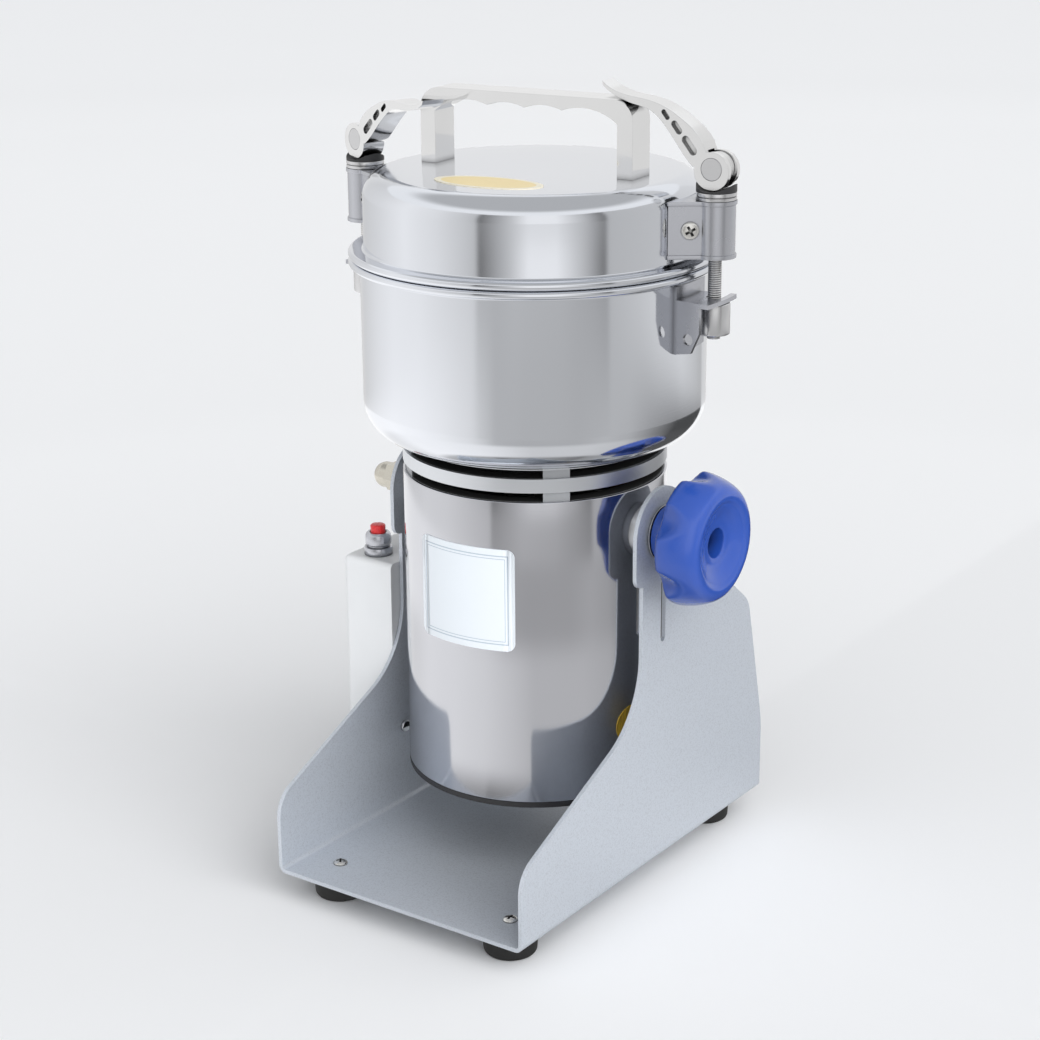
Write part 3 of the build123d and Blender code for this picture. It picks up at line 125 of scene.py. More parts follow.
def close_up(piece, smooth_angle=SMOOTH_ANGLE):
    """Merge doubles, turn the faces outwards and smooth all but the sharp edges."""
    edit_all(piece)
    bpy.ops.mesh.remove_doubles(threshold=2e-6)
    bpy.ops.mesh.normals_make_consistent(inside=False)
    bpy.ops.object.mode_set(mode="OBJECT")
    smooth_below(smooth_angle)


def apply_modifier(piece, kind, **settings):
    take(piece)
    modifier = piece.modifiers.new(kind.lower(), kind)
    for key, value in settings.items():
        setattr(modifier, key, value)
    bpy.ops.object.modifier_apply(modifier=modifier.name)


def soften(piece, width, segments, angle):
    """Round the edges that are sharper than an angle."""
    apply_modifier(
        piece,
        "BEVEL",
        width=width * MM,
        segments=segments,
        limit_method="ANGLE",
        angle_limit=math.radians(angle),
        harden_normals=False,
    )


def apply_placement():
    bpy.ops.object.transform_apply(location=True, rotation=True, scale=True)


def settle(piece, placement):
    """Set a piece where it belongs and leave its object at the origin."""
    piece.matrix_world = placement
    take(piece)
    apply_placement()


def finish_piece(piece, body, finish, slot, *stands_for):
    piece.data.materials.clear()
    piece.data.materials.append(finish)
    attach(piece, body)
    if stands_for:
        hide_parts(*stands_for)


# Outlines and places
def arc(across, up, radius, start, end, steps):
    """Points on a round corner, angles in degrees."""
    turns = [math.radians(start + (end - start) * i / steps) for i in range(steps + 1)]
    return [(across + radius * math.cos(t), up + radius * math.sin(t)) for t in turns]


def at(x, y, z=0.0):
    """Placement at a point given in mm."""
    return Matrix.Translation((x * MM, y * MM, z * MM))


def turned(angle, axis="Z"):
    """Placement turned about an axis by an angle in radians."""
    return Matrix.Rotation(angle, 4, axis)


def on_motor_axis(turn=0.0):
    return at(0, AXIS_BACK) @ turned(math.radians(turn))


# Making pieces
def named(piece, name):
    piece.name = piece.data.name = name
    return piece


def lathe(name, stations, sides):
    """Round piece about its own axis, drawn out ring by ring from (radius, height) in mm."""
    clear_selection()
    radius, height = max(stations[0][0], AXIS_RING), stations[0][1]
    bpy.ops.mesh.primitive_circle_add(vertices=sides, radius=radius * MM)
    piece = named(bpy.context.active_object, name)
    edit_all(piece)
    bpy.ops.transform.translate(value=(0, 0, height * MM))
    for next_radius, next_height in stations[1:]:
        next_radius = max(next_radius, AXIS_RING)
        scale = next_radius / radius
        rise = (0, 0, (next_height - height) * MM)
        bpy.ops.mesh.extrude_edges_move(TRANSFORM_OT_translate={"value": rise})
        bpy.ops.transform.resize(value=(scale, scale, 1), center_override=(0, 0, next_height * MM))
        radius, height = next_radius, next_height
    close_up(piece)
    return piece


def twin_of(source, name):
    clear_selection()
    twin = source.copy()
    twin.data = source.data.copy()
    bpy.context.scene.collection.objects.link(twin)
    return named(twin, name)


def refined(node, name, edge, segments, angle):
    """Copy of a solid with its triangles merged into clean faces and its edges rounded."""
    piece = twin_of(nodes[node], name)
    piece.parent = None
    piece.matrix_world = nodes[node].matrix_world
    edit_all(piece)
    bpy.ops.mesh.remove_doubles(threshold=1e-6)
    bpy.ops.mesh.dissolve_limited(angle_limit=math.radians(FLAT_ANGLE))
    bpy.ops.object.mode_set(mode="OBJECT")
    if edge:
        soften(piece, edge, segments, angle)
    smooth_below(SMOOTH_ANGLE)
    if edge:
        apply_modifier(piece, "WEIGHTED_NORMAL", mode="FACE_AREA", weight=90, keep_sharp=True)
    return piece


def block(name, size, middle, turn=0.0):
    """Box with its size and middle in mm, turned about Z by degrees."""
    clear_selection()
    bpy.ops.mesh.primitive_cube_add(size=1)
    piece = named(bpy.context.active_object, name)
    piece.scale = [s * MM for s in size]
    piece.rotation_euler = (0, 0, math.radians(turn))
    piece.location = [m * MM for m in middle]
    apply_placement()
    return piece


def join(name, pieces):
    clear_selection()
    for piece in pieces:
        piece.select_set(True)
    bpy.context.view_layer.objects.active = pieces[0]
    bpy.ops.object.join()
    return named(pieces[0], name)


# Finishes
class Value:
    """A socket of a finish, with maths on it written as plain expressions."""

    def __init__(self, finish, socket):
        self.finish = finish
        self.socket = socket

    def maths(self, operation, first, second=0.0):
        return self.finish.node("ShaderNodeMath", {"operation": operation}, {0: first, 1: second})

    def __add__(self, other):
        return self.maths("ADD", self, other)

    def __radd__(self, other):
        return self.maths("ADD", other, self)

    def __sub__(self, other):
        return self.maths("SUBTRACT", self, other)

    def __rsub__(self, other):
        return self.maths("SUBTRACT", other, self)

    def __mul__(self, other):
        return self.maths("MULTIPLY", self, other)

    def __truediv__(self, other):
        return self.maths("DIVIDE", self, other)

    def __abs__(self):
        return self.maths("ABSOLUTE", self)

    def __gt__(self, other):
        return self.maths("GREATER_THAN", self, other)

    def __lt__(self, other):
        return self.maths("LESS_THAN", self, other)

    def highest(self, other):
        return self.maths("MAXIMUM", self, other)

    def turn_from(self, other):
        """Angle in degrees of a point that lies this far up and the other value across."""
        return self.maths("ARCTAN2", self, other) * (180 / math.pi)

    def sine(self):
        return self.maths("SINE", self)

    def root(self):
        return self.maths("SQRT", self)

    def around(self, level, swing):
        """A level that this value, from 0 to 1, moves up and down."""
        return level + (self - 0.5) * swing

    def step_between(self, low, high):
        """0 below low, 1 above high, smooth in between."""
        return self.finish.node(
            "ShaderNodeMapRange",
            {"interpolation_type": "SMOOTHSTEP"},
            {"Value": self, "From Min": low, "From Max": high, "To Min": 0.0, "To Max": 1.0},
        )


class Finish:
    """A material under construction; place is the point on the piece, from the motor axis, in metres."""

    def __init__(self, name):
        self.material = bpy.data.materials.new(name)
        self.material.use_nodes = True
        self.tree = self.material.node_tree
        self.surface = self.tree.nodes["Principled BSDF"]
        point = self.node("ShaderNodeTexCoord", out="Object")
        axis = (0, AXIS_BACK * MM, 0)
        self.measure(
            self.node("ShaderNodeVectorMath", {"operation": "SUBTRACT"}, {0: point, 1: axis}, out="Vector")
        )

    def measure(self, place):
        """Keep a place and its three parts at hand."""
        self.place = place
        self.x, self.y, self.z = [
            self.node("ShaderNodeSeparateXYZ", sockets={"Vector": place}, out=part) for part in "XYZ"
        ]

    def connect(self, socket, value):
        if isinstance(value, Value):
            self.tree.links.new(value.socket, socket)
        else:
            socket.default_value = value

    def node(self, kind, settings=None, sockets=None, out=0):
        made = self.tree.nodes.new(kind)
        for key, value in (settings or {}).items():
            setattr(made, key, value)
        for key, value in (sockets or {}).items():
            self.connect(made.inputs[key], value)
        return Value(self, made.outputs[out])

    def ramp(self, factor, stops):
        """Colours set at places from 0 to 1, and blended in between."""
        colours = self.node("ShaderNodeValToRGB", sockets={"Fac": factor}, out="Color")
        spots = colours.socket.node.color_ramp.elements
        while len(spots) < len(stops):
            spots.new(0.5)
        for spot, (position, colour) in zip(spots, stops):
            spot.position = position
            spot.color = colour
        return colours

    def noise(self, scale, detail=3.0, roughness=0.5, where=None):
        return self.node(
            "ShaderNodeTexNoise",
            sockets={"Vector": where or self.place, "Scale": scale, "Detail": detail, "Roughness": roughness},
            out="Fac",
        )

    def openness(self, distance):
        """1 on open faces, less where other faces stand close by."""
        return self.node("ShaderNodeAmbientOcclusion", {"samples": 8}, {"Distance": distance}, out="AO")

    def mix(self, factor, first, second):
        sockets = {"Factor": factor, 6: first, 7: second}
        return self.node("ShaderNodeMix", {"data_type": "RGBA"}, sockets, out=2)

    def bump(self, height, strength, distance=0.0003):
        sockets = {"Height": height, "Strength": strength, "Distance": distance}
        return self.node("ShaderNodeBump", sockets=sockets, out="Normal")

    def ray(self, question):
        """What the ray that reaches this finish is, or how often it has bounced."""
        return self.node("ShaderNodeLightPath", out=question)

    def unscattered(self):
        """1 for rays that no matt face has thrown back."""
        return self.ray("Diffuse Depth") < 0.5

    def set(self, **sockets):
        for key, value in sockets.items():
            self.connect(self.surface.inputs[key.replace("_", " ")], value)


class Sky(Finish):
    """The world under construction; x, y and z are the way a ray leaves the scene."""

    def __init__(self, name):
        world = bpy.data.worlds.new(name)
        bpy.context.scene.world = world
        world.use_nodes = True
        self.tree = world.node_tree
        self.surface = self.tree.nodes["Background"]
        self.measure(self.node("ShaderNodeTexCoord", out="Generated"))


def length_of(across, along):
    return (across * across + along * along).root()


def colour_of(tone, part=1.0):
    """Colour for a socket, from a tone and the part of it that is left."""
    return (*[c * part for c in tone], 1.0)


def grey(level):
    return colour_of((level, level, level))


def polished_steel(name, tone, rough):
    """Stainless sheet polished on the lathe: fine lines run round it and it is a little uneven."""
    lines_per_metre = 2600
    steel = Finish(name)
    rings = steel.node(
        "ShaderNodeCombineXYZ",
        sockets={"X": length_of(steel.x, steel.y) * lines_per_metre, "Y": steel.z * lines_per_metre},
        out="Vector",
    )
    lines = steel.noise(1.0, detail=2.0, where=rings)
    haze = steel.noise(14.0)
    steel.set(
        Base_Color=steel.mix(haze, colour_of(tone, 0.96), colour_of(tone)),
        Metallic=1.0,
        Roughness=lines.around(haze.around(rough, rough * 0.4), rough * 0.8),
        Normal=steel.bump(lines, 0.05, 0.00005),
    )
    return steel.material


def plated_metal(name, tone, rough):
    """Bright plating over a slightly rippled casting, with painted shade in its corners and pockets."""
    metal = Finish(name)
    ripple = metal.noise(160.0)
    haze = metal.noise(45.0, detail=4.0)
    # Painted shade: where the occlusion node finds faces within 5 mm, the colour darkens towards a fifth of
    # its tone.
    clear = metal.openness(0.005).step_between(0.25, 0.85)
    bright = metal.mix(haze, colour_of(tone, 0.93), colour_of(tone))
    metal.set(
        Base_Color=metal.mix(clear, colour_of(tone, 0.22), bright),
        Metallic=1.0,
        Roughness=haze.around(rough, rough * 0.6),
        Normal=metal.bump(ripple, 0.06),
    )
    return metal.material


def moulded_plastic(name, tone, rough, grain, coat=0.0):
    """Plastic with a fine grain and a slight cloud, with painted shade in its corners and pockets."""
    plastic = Finish(name)
    texture = plastic.noise(grain)
    cloud = plastic.noise(30.0, detail=2.0)
    # Painted shade: where the occlusion node finds faces within 12 mm, the colour darkens towards a quarter
    # of its tone.
    clear = plastic.openness(0.012).step_between(0.10, 0.60)
    bright = plastic.mix(cloud, colour_of(tone, 0.93), colour_of(tone))
    plastic.set(
        Base_Color=plastic.mix(clear, colour_of(tone, 0.25), bright),
        Roughness=texture.around(rough, 0.12),
        Normal=plastic.bump(texture, 0.12, 0.0002),
        Coat_Weight=coat,
    )
    return plastic.material


def silver_hammer_paint():
    """Silver paint with metal flake: a fine orange-peel grain and darker pits."""
    pit_colour = (0.50, 0.53, 0.58, 1)
    paint_colour = (0.60, 0.64, 0.70, 1)
    flake_colour = (0.74, 0.78, 0.84, 1)
    paint = Finish("silver_hammer_paint")
    grain = paint.noise(1500.0, roughness=0.6)
    flake = paint.node("ShaderNodeTexVoronoi", sockets={"Vector": paint.place, "Scale": 2400.0}, out="Color")
    spark = paint.node("ShaderNodeSeparateColor", sockets={"Color": flake})
    patch = paint.noise(9.0)
    smooth = grain.step_between(0.30, 0.55)
    paint.set(
        Base_Color=paint.mix(spark * 0.2, paint.mix(smooth, pit_colour, paint_colour), flake_colour),
        Metallic=0.3 + spark * 0.2,
        Roughness=patch.around(0.44, 0.08) + (1 - smooth) * 0.08,
        Normal=paint.bump(grain, 0.18),
    )
    return paint.material


def bordered_plate():
    """Blank plate on the can: pale foil with a thin double line round its edge, sizes in mm."""
    middle_turn = -87.55
    middle_height = 153.45
    half_width = 26.07
    half_height = 24.55
    outer_inset = 3.2
    outer_half_line = 0.28
    inner_inset = 4.6
    inner_half_line = 0.18
    foil_colour = (0.84, 0.89, 0.94, 1)
    line_colour = (0.50, 0.58, 0.66, 1)
    plate = Finish("blank_plate")
    turn = plate.y.turn_from(plate.x)
    across = abs(turn - middle_turn) * math.radians(MOTOR_RADIUS)
    up = abs(plate.z / MM - middle_height)
    past_edge = (across - half_width).highest(up - half_height)
    outer_line = abs(past_edge + outer_inset) < outer_half_line
    inner_line = abs(past_edge + inner_inset) < inner_half_line
    grain = plate.noise(1500.0, detail=2.0)
    plate.set(
        Base_Color=plate.mix(outer_line.highest(inner_line), foil_colour, line_colour),
        Metallic=0.15,
        Roughness=grain.around(0.36, 0.1),
        Normal=plate.bump(grain, 0.05),
    )
    return plate.material


def threaded_steel():
    """Plated rod with a rolled thread below the block."""
    turns_per_metre = 1000
    thread_end = (0.3075, 0.3085)
    steel_colour = (0.80, 0.80, 0.80, 1)
    hollow_dark_colour = (0.30, 0.29, 0.28, 1)
    rod = Finish("threaded_rod")
    ridge = (rod.z * (2 * math.pi * turns_per_metre)).sine() * 0.5 + 0.5
    below = 1 - rod.z.step_between(*thread_end)
    dirt = rod.noise(300.0)
    rod.set(
        # The colour is darker in the thread grooves below the block, darkest at the bottom of each groove.
        Base_Color=rod.mix((1 - ridge) * below * 0.45, steel_colour, hollow_dark_colour),
        Metallic=1.0,
        Roughness=0.2 + dirt * 0.1,
        Normal=rod.bump(ridge * below, 0.8, 0.0004),
    )
    return rod.material


def oval_label():
    """Plain yellow oval with a paler rim, sizes in metres along the clamps' line and across it."""
    middle_along = 0.0018
    middle_across = -0.0426
    half_length = 0.027
    half_width = 0.013
    rim_from = 0.86
    yellow = (0.92, 0.74, 0.36, 1)
    cream = (0.93, 0.87, 0.70, 1)
    cosine = math.cos(math.radians(CLAMP_TURN))
    sine = math.sin(math.radians(CLAMP_TURN))
    label = Finish("yellow_oval")
    along = (label.x * cosine + label.y * sine - middle_along) / half_length
    across = (label.y * cosine - label.x * sine - middle_across) / half_width
    rim = (length_of(along, across) - rim_from).step_between(0.0, 0.02)
    grain = label.noise(900.0, detail=2.0)
    label.set(
        Base_Color=label.mix(rim, yellow, cream),
        Roughness=grain.around(0.34, 0.1),
        Normal=label.bump(grain, 0.06),
    )
    return label.material


def cast_collar():
    """Cast collar, bright on its rim, with painted shade in its vents."""
    vent_shade_colour = (0.02, 0.02, 0.02, 1)
    rim_dull = (0.66, 0.68, 0.71, 1)
    rim_bright = (0.73, 0.75, 0.78, 1)
    collar = Finish("cast_collar")
    # Painted shade: less than 60 mm from the motor axis, in the vents and on the faces behind them, the
    # colour is near black and not metallic. It blends into the rim up to 61.8 mm.
    rim = length_of(collar.x, collar.y).step_between(0.0600, 0.0618)
    ripple = collar.noise(160.0)
    haze = collar.noise(45.0, detail=4.0)
    collar.set(
        Base_Color=collar.mix(rim, vent_shade_colour, collar.mix(haze, rim_dull, rim_bright)),
        Metallic=rim,
        Roughness=haze.around(0.7 - rim * 0.3, 0.12),
        Normal=collar.bump(ripple, 0.06),
    )
    return collar.material


def recess_shaded_steel():
    """Plated screw, dark with painted shade where it is hollow."""
    hollow_dark_colour = (0.03, 0.03, 0.03, 1)
    steel_colour = (0.78, 0.77, 0.74, 1)
    screw = Finish("screw_steel")
    dirt = screw.noise(400.0)
    # Painted shade: in the cross recess, where the occlusion node finds faces within 2.2 mm, the colour goes
    # near black, and the metal is rougher and less metallic there.
    clear = screw.openness(0.0022).step_between(0.50, 0.85)
    screw.set(
        Base_Color=screw.mix(clear, hollow_dark_colour, steel_colour),
        Metallic=0.4 + clear * 0.6,
        Roughness=0.5 - clear * 0.28 + dirt * 0.08,
        Normal=screw.bump(dirt, 0.05),
    )
    return screw.material


FINISHES = {
    "stand_paint": silver_hammer_paint(),
    "stainless": polished_steel("polished_stainless", (0.785, 0.805, 0.85), 0.10),
    "bright_metal": plated_metal("bright_plating", (0.90, 0.90, 0.90), 0.10),
    "cast_aluminium": plated_metal("cast_aluminium", (0.78, 0.79, 0.81), 0.33),
    "plain_steel": plated_metal("turned_steel", (0.70, 0.70, 0.71), 0.24),
    "laminated_iron": plated_metal("laminated_iron", (0.24, 0.24, 0.26), 0.5),
    "copper": plated_metal("copper_wire", (0.72, 0.36, 0.20), 0.35),
    "black_plastic": moulded_plastic("black_plastic", (0.022, 0.022, 0.024), 0.45, 900.0),
    "white_plastic": moulded_plastic("white_plastic", (0.94, 0.955, 0.97), 0.38, 1100.0),
    "blue_plastic": moulded_plastic("blue_plastic", (0.020, 0.078, 0.41), 0.24, 700.0, coat=0.5),
    "red_plastic": moulded_plastic("red_plastic", (0.92, 0.04, 0.045), 0.28, 900.0),
    "carbon": moulded_plastic("carbon", (0.05, 0.05, 0.055), 0.6, 600.0),
    "rubber": moulded_plastic("black_rubber", (0.018, 0.018, 0.018), 0.62, 800.0),
    "silicone": moulded_plastic("silicone", (0.78, 0.78, 0.76), 0.55, 700.0),
    "blank_plate": bordered_plate(),
    "yellow_label": moulded_plastic("yellow_label", (0.80, 0.52, 0.05), 0.35, 900.0),
}
THREADED = threaded_steel()
OVAL_LABEL = oval_label()
COLLAR = cast_collar()
CAN_STEEL = polished_steel("can_steel", (0.61, 0.615, 0.65), 0.11)
SATIN_ZINC = plated_metal("satin_zinc", (0.56, 0.57, 0.61), 0.26)
DULL_NICKEL = plated_metal("dull_nickel", (0.62, 0.59, 0.52), 0.2)
SCREW_STEEL = recess_shaded_steel()
slot_of = {row["node"]: row["material_slot"] for row in frame["record"]["subparts"]}
for node_name, node_object in nodes.items():
    node_object.data.materials.clear()
    node_object.data.materials.append(FINISHES[slot_of[node_name]])


def dress(piece, body, node, finish=None):
    """Let a piece stand for a solid on a body, in the finish of the solid's slot or its own."""
    slot = slot_of[node]
    finish_piece(piece, body, finish or FINISHES[slot], slot, node)


# Bowl, lid and can, turned about the motor axis
def turned_sheet(name, outline, body, node, finish=None):
    piece = lathe(name, outline, SIDES_OF_SHEET)
    settle(piece, on_motor_axis())
    dress(piece, body, node, finish)


def bowl_shell():
    corner_at = BOWL_RADIUS - BOWL_CORNER
    corner_height = BOWL_FLOOR + BOWL_CORNER
    lip_at = RIM_RADIUS - RIM_LIP
    flange_bottom = BOWL_TOP - FLANGE
    neck_round = 1.4
    mouth_round = 0.8
    outline = [
        (SHAFT_HOLE, BOWL_FLOOR),
        *arc(corner_at, corner_height, BOWL_CORNER, -90, 0, 16),
        *arc(BOWL_RADIUS + neck_round, flange_bottom - neck_round, neck_round, 180, 90, 5),
        *arc(lip_at, flange_bottom + RIM_LIP, RIM_LIP, -90, 0, 6),
        *arc(lip_at, BOWL_TOP - RIM_LIP, RIM_LIP, 0, 90, 6),
        *arc(BOWL_RADIUS - SHEET + mouth_round, BOWL_TOP - mouth_round, mouth_round, 90, 180, 4),
        *arc(corner_at, corner_height, BOWL_CORNER - SHEET, 0, -90, 12),
        (SHAFT_HOLE, BOWL_FLOOR + SHEET),
        (SHAFT_HOLE, BOWL_FLOOR),
    ]
    turned_sheet("bowl_shell", outline, "head", "bowl")


def lid_shell():
    shoulder_at = LID_RADIUS - LID_SHOULDER
    shoulder_height = LID_TOP - LID_SHOULDER
    lip_at = RIM_RADIUS - RIM_LIP
    flange_top = LID_BOTTOM + FLANGE
    neck_round = 1.2
    outline = [
        (0.0, LID_TOP),
        (shoulder_at / 2, LID_TOP),
        *arc(shoulder_at, shoulder_height, LID_SHOULDER, 90, 0, 14),
        *arc(LID_RADIUS + neck_round, flange_top + neck_round, neck_round, 180, 270, 5),
        *arc(lip_at, flange_top - RIM_LIP, RIM_LIP, 90, 0, 6),
        *arc(lip_at, LID_BOTTOM + RIM_LIP, RIM_LIP, 0, -90, 6),
        (SEAL_OUTER, LID_BOTTOM),
        (SEAL_OUTER, LID_BOTTOM + SEAL_DEPTH),
        (SEAL_INNER, LID_BOTTOM + SEAL_DEPTH),
        (SEAL_INNER, LID_BOTTOM),
        (LID_RADIUS, LID_BOTTOM),
        (LID_RADIUS, LID_BOTTOM - LID_SPIGOT),
        (LID_RADIUS - SHEET, LID_BOTTOM - LID_SPIGOT),
        *arc(shoulder_at, shoulder_height, LID_SHOULDER - SHEET, 0, 90, 10),
        (0.0, LID_TOP - SHEET),
    ]
    turned_sheet("lid_shell", outline, "lid", "lid")


def can_shell():
    edge = 0.5
    inner = MOTOR_RADIUS - CAN_SHEET
    outline = [
        (inner, CAN_BOTTOM),
        *arc(MOTOR_RADIUS - edge, CAN_BOTTOM + edge, edge, -90, 0, 4),
        *arc(MOTOR_RADIUS - edge, CAN_TOP - edge, edge, 0, 90, 4),
        (inner, CAN_TOP),
        (inner, CAN_BOTTOM),
    ]
    turned_sheet("can_shell", outline, "head", "motor_can", CAN_STEEL)


# Rubber feet and domed cross-head screws
def pan_screw(name, head_radius, head_height, cross):
    """Domed screw head on its own axis, with a cross cut into it."""
    skirt = 0.25
    dome = [
        (head_radius * math.cos(t), head_height * (skirt + (1 - skirt) * math.sin(t)))
        for t in (math.radians(10 * i) for i in range(9))
    ]
    screw = lathe(name, [(0.0, 0.0), (head_radius, 0.0), *dome, (0.0, head_height)], SIDES_OF_SCREW)
    bar_size = (2 * cross, 0.5 * cross, 1.5 * head_height)
    bar_middle = (0, 0, 0.95 * head_height)
    for turn in (0, 90):
        bar = block("cross_cutter", bar_size, bar_middle, turn)
        apply_modifier(screw, "BOOLEAN", operation="DIFFERENCE", object=bar, solver="EXACT")
        bpy.data.objects.remove(bar)
    close_up(screw, smooth_angle=40)
    return screw


def set_of(name, pattern, placements, body, node, finish=None):
    """One piece made of copies of a pattern, which is then removed."""
    copies = []
    for i, placement in enumerate(placements):
        twin = twin_of(pattern, f"{name}_{i}")
        settle(twin, placement)
        copies.append(twin)
    bpy.data.objects.remove(pattern)
    dress(join(name, copies), body, node, finish)


def feet_and_screws():
    places = [(x, y) for x in (-FOOT_ACROSS, FOOT_ACROSS) for y in (-FOOT_BACK, FOOT_BACK)]
    hole = 1.7
    hole_floor = 5.0
    foot_top = 13.0
    tread_radius = 12.4
    tread_edge = 2.2
    top_radius = 13.0
    top_edge = 0.6
    foot_outline = [
        (hole, foot_top),
        (hole, hole_floor),
        (0.0, hole_floor),
        (0.0, 0.0),
        *arc(tread_radius - tread_edge, tread_edge, tread_edge, -90, 0, 6),
        *arc(top_radius - top_edge, foot_top - top_edge, top_edge, 0, 90, 4),
        (hole, foot_top),
    ]
    foot = lathe("rubber_foot", foot_outline, SIDES_OF_FITTING)
    set_of("rubber_feet", foot, [at(x, y) for x, y in places], "stand", "feet")
    screw = pan_screw("base_screw", head_radius=3.4, head_height=1.8, cross=2.1)
    # Each side's screws stop at a turn of their own
    spots = [at(x, y, BASE_TOP) @ turned(0.4 + x) for x, y in places]
    set_of("base_screws", screw, spots, "stand", "foot_screws", SCREW_STEEL)


# Star knob: a turned, dished blank whose side is scooped six times, deepest at the back
KNOB_OUTLINE = [
    (5.05, 0.0), (12.4, 0.0), (13.0, 0.6), (13.0, 10.2), (14.0, 10.9), (20.0, 11.3), (26.4, 11.9),
    (28.6, 12.4), (30.1, 13.2), (30.9, 14.3), (31.0, 15.6), (30.8, 17.6), (30.3, 20.0), (29.7, 22.4),
    (28.9, 24.8), (28.0, 27.0), (27.0, 28.8), (25.7, 30.3), (24.2, 31.2), (22.6, 31.55), (21.0, 31.5),
    (19.6, 31.0), (18.9, 30.5), (18.4, 30.35), (17.6, 30.2), (14.8, 29.0), (12.0, 27.9), (9.6, 27.4),
    (7.8, 27.35), (7.1, 27.1), (6.8, 26.4), (6.8, 17.6), (5.05, 17.6), (5.05, 0.0),
]


def soft_lowest(first, second):
    """The lower of two lengths in mm, with a soft change from one to the other."""
    blend = 0.55
    middle = 20.0
    total = math.exp((middle - first) / blend) + math.exp((middle - second) / blend)
    return middle - blend * math.log(total)


def star_knob():
    lobe = 60.0
    scoop_ring = 40.0
    scoop_radius = 14.0
    scoop_slope = math.tan(math.radians(14.0))
    scoop_back = 10.8
    scooped_from = 19.5
    knob = lathe("star_knob", KNOB_OUTLINE, SIDES_OF_KNOB)
    for vertex in knob.data.vertices:
        reach = math.hypot(vertex.co.x, vertex.co.y) / MM
        turn = math.degrees(math.atan2(vertex.co.y, vertex.co.x))
        off = math.radians((turn + lobe / 2) % lobe - lobe / 2)
        scoop = scoop_radius - scoop_slope * (vertex.co.z / MM - scoop_back)
        across = scoop_ring * math.sin(off)
        if reach > scooped_from and abs(across) < scoop:
            limit = scoop_ring * math.cos(off) - math.sqrt(scoop**2 - across**2)
            scale = min(soft_lowest(reach, limit), reach) / reach
            vertex.co.x *= scale
            vertex.co.y *= scale
    close_up(knob, smooth_angle=45)
    settle(knob, at(KNOB_FACE, AXIS_BACK, PIVOT_HEIGHT) @ turned(math.radians(90), "Y"))
    dress(knob, "knob", "knob")


# Clamp parts on both sides
def thrust_washer(side, rod):
    hole = 3.3
    outer = 9.0
    groove = 8.6
    bottom = 334.0
    top = 337.6
    edge = 0.3
    outline = [
        (hole, bottom),
        *arc(outer - edge, bottom + edge, edge, -90, 0, 3),
        (outer, 335.5),
        (groove, 335.7),
        (groove, 335.9),
        (outer, 336.1),
        *arc(outer - edge, top - edge, edge, 0, 90, 3),
        (hole, top),
        (hole, bottom),
    ]
    washer = lathe(f"{side}_washer", outline, SIDES_OF_FITTING)
    settle(washer, rod)
    dress(washer, f"{side}_swivel", f"{side}_thrust_washer")


def long_nut(side, rod):
    hole = 3.0
    outer = 7.2
    bottom = 274.0
    top = 288.3
    edge = 0.8
    outline = [
        (hole, bottom),
        *arc(outer - edge, bottom + edge, edge, -90, 0, 4),
        *arc(outer - edge, top - edge, edge, 0, 90, 4),
        (hole, top),
        (hole, bottom),
    ]
    nut = lathe(f"{side}_nut", outline, SIDES_OF_NUT)
    settle(nut, rod)
    dress(nut, f"{side}_rod", f"{side}_rod_nut")


def clamp_sides():
    for side, turn in (("right", CLAMP_TURN), ("left", CLAMP_TURN + 180)):
        angle = math.radians(turn)
        rod = at(ROD_REACH * math.cos(angle), ROD_REACH * math.sin(angle) + AXIS_BACK)
        thrust_washer(side, rod)
        long_nut(side, rod)
        saddle = refined(f"{side}_saddle", f"{side}_cam_saddle", 0.3, 2, 30)
        dress(saddle, f"{side}_swivel", f"{side}_saddle")
        eye_rod = refined(f"{side}_eye_rod", f"{side}_threaded_rod", 0.5, 3, 40)
        dress(eye_rod, f"{side}_rod", f"{side}_eye_rod", THREADED)
        lever = refined(f"{side}_cam_lever", f"{side}_lever", 0.3, 2, 32)
        dress(lever, f"{side}_lever", f"{side}_cam_lever")
        pin = refined(f"{side}_lever_pin", f"{side}_pin", 0.5, 3, 40)
        dress(pin, f"{side}_lever", f"{side}_lever_pin")


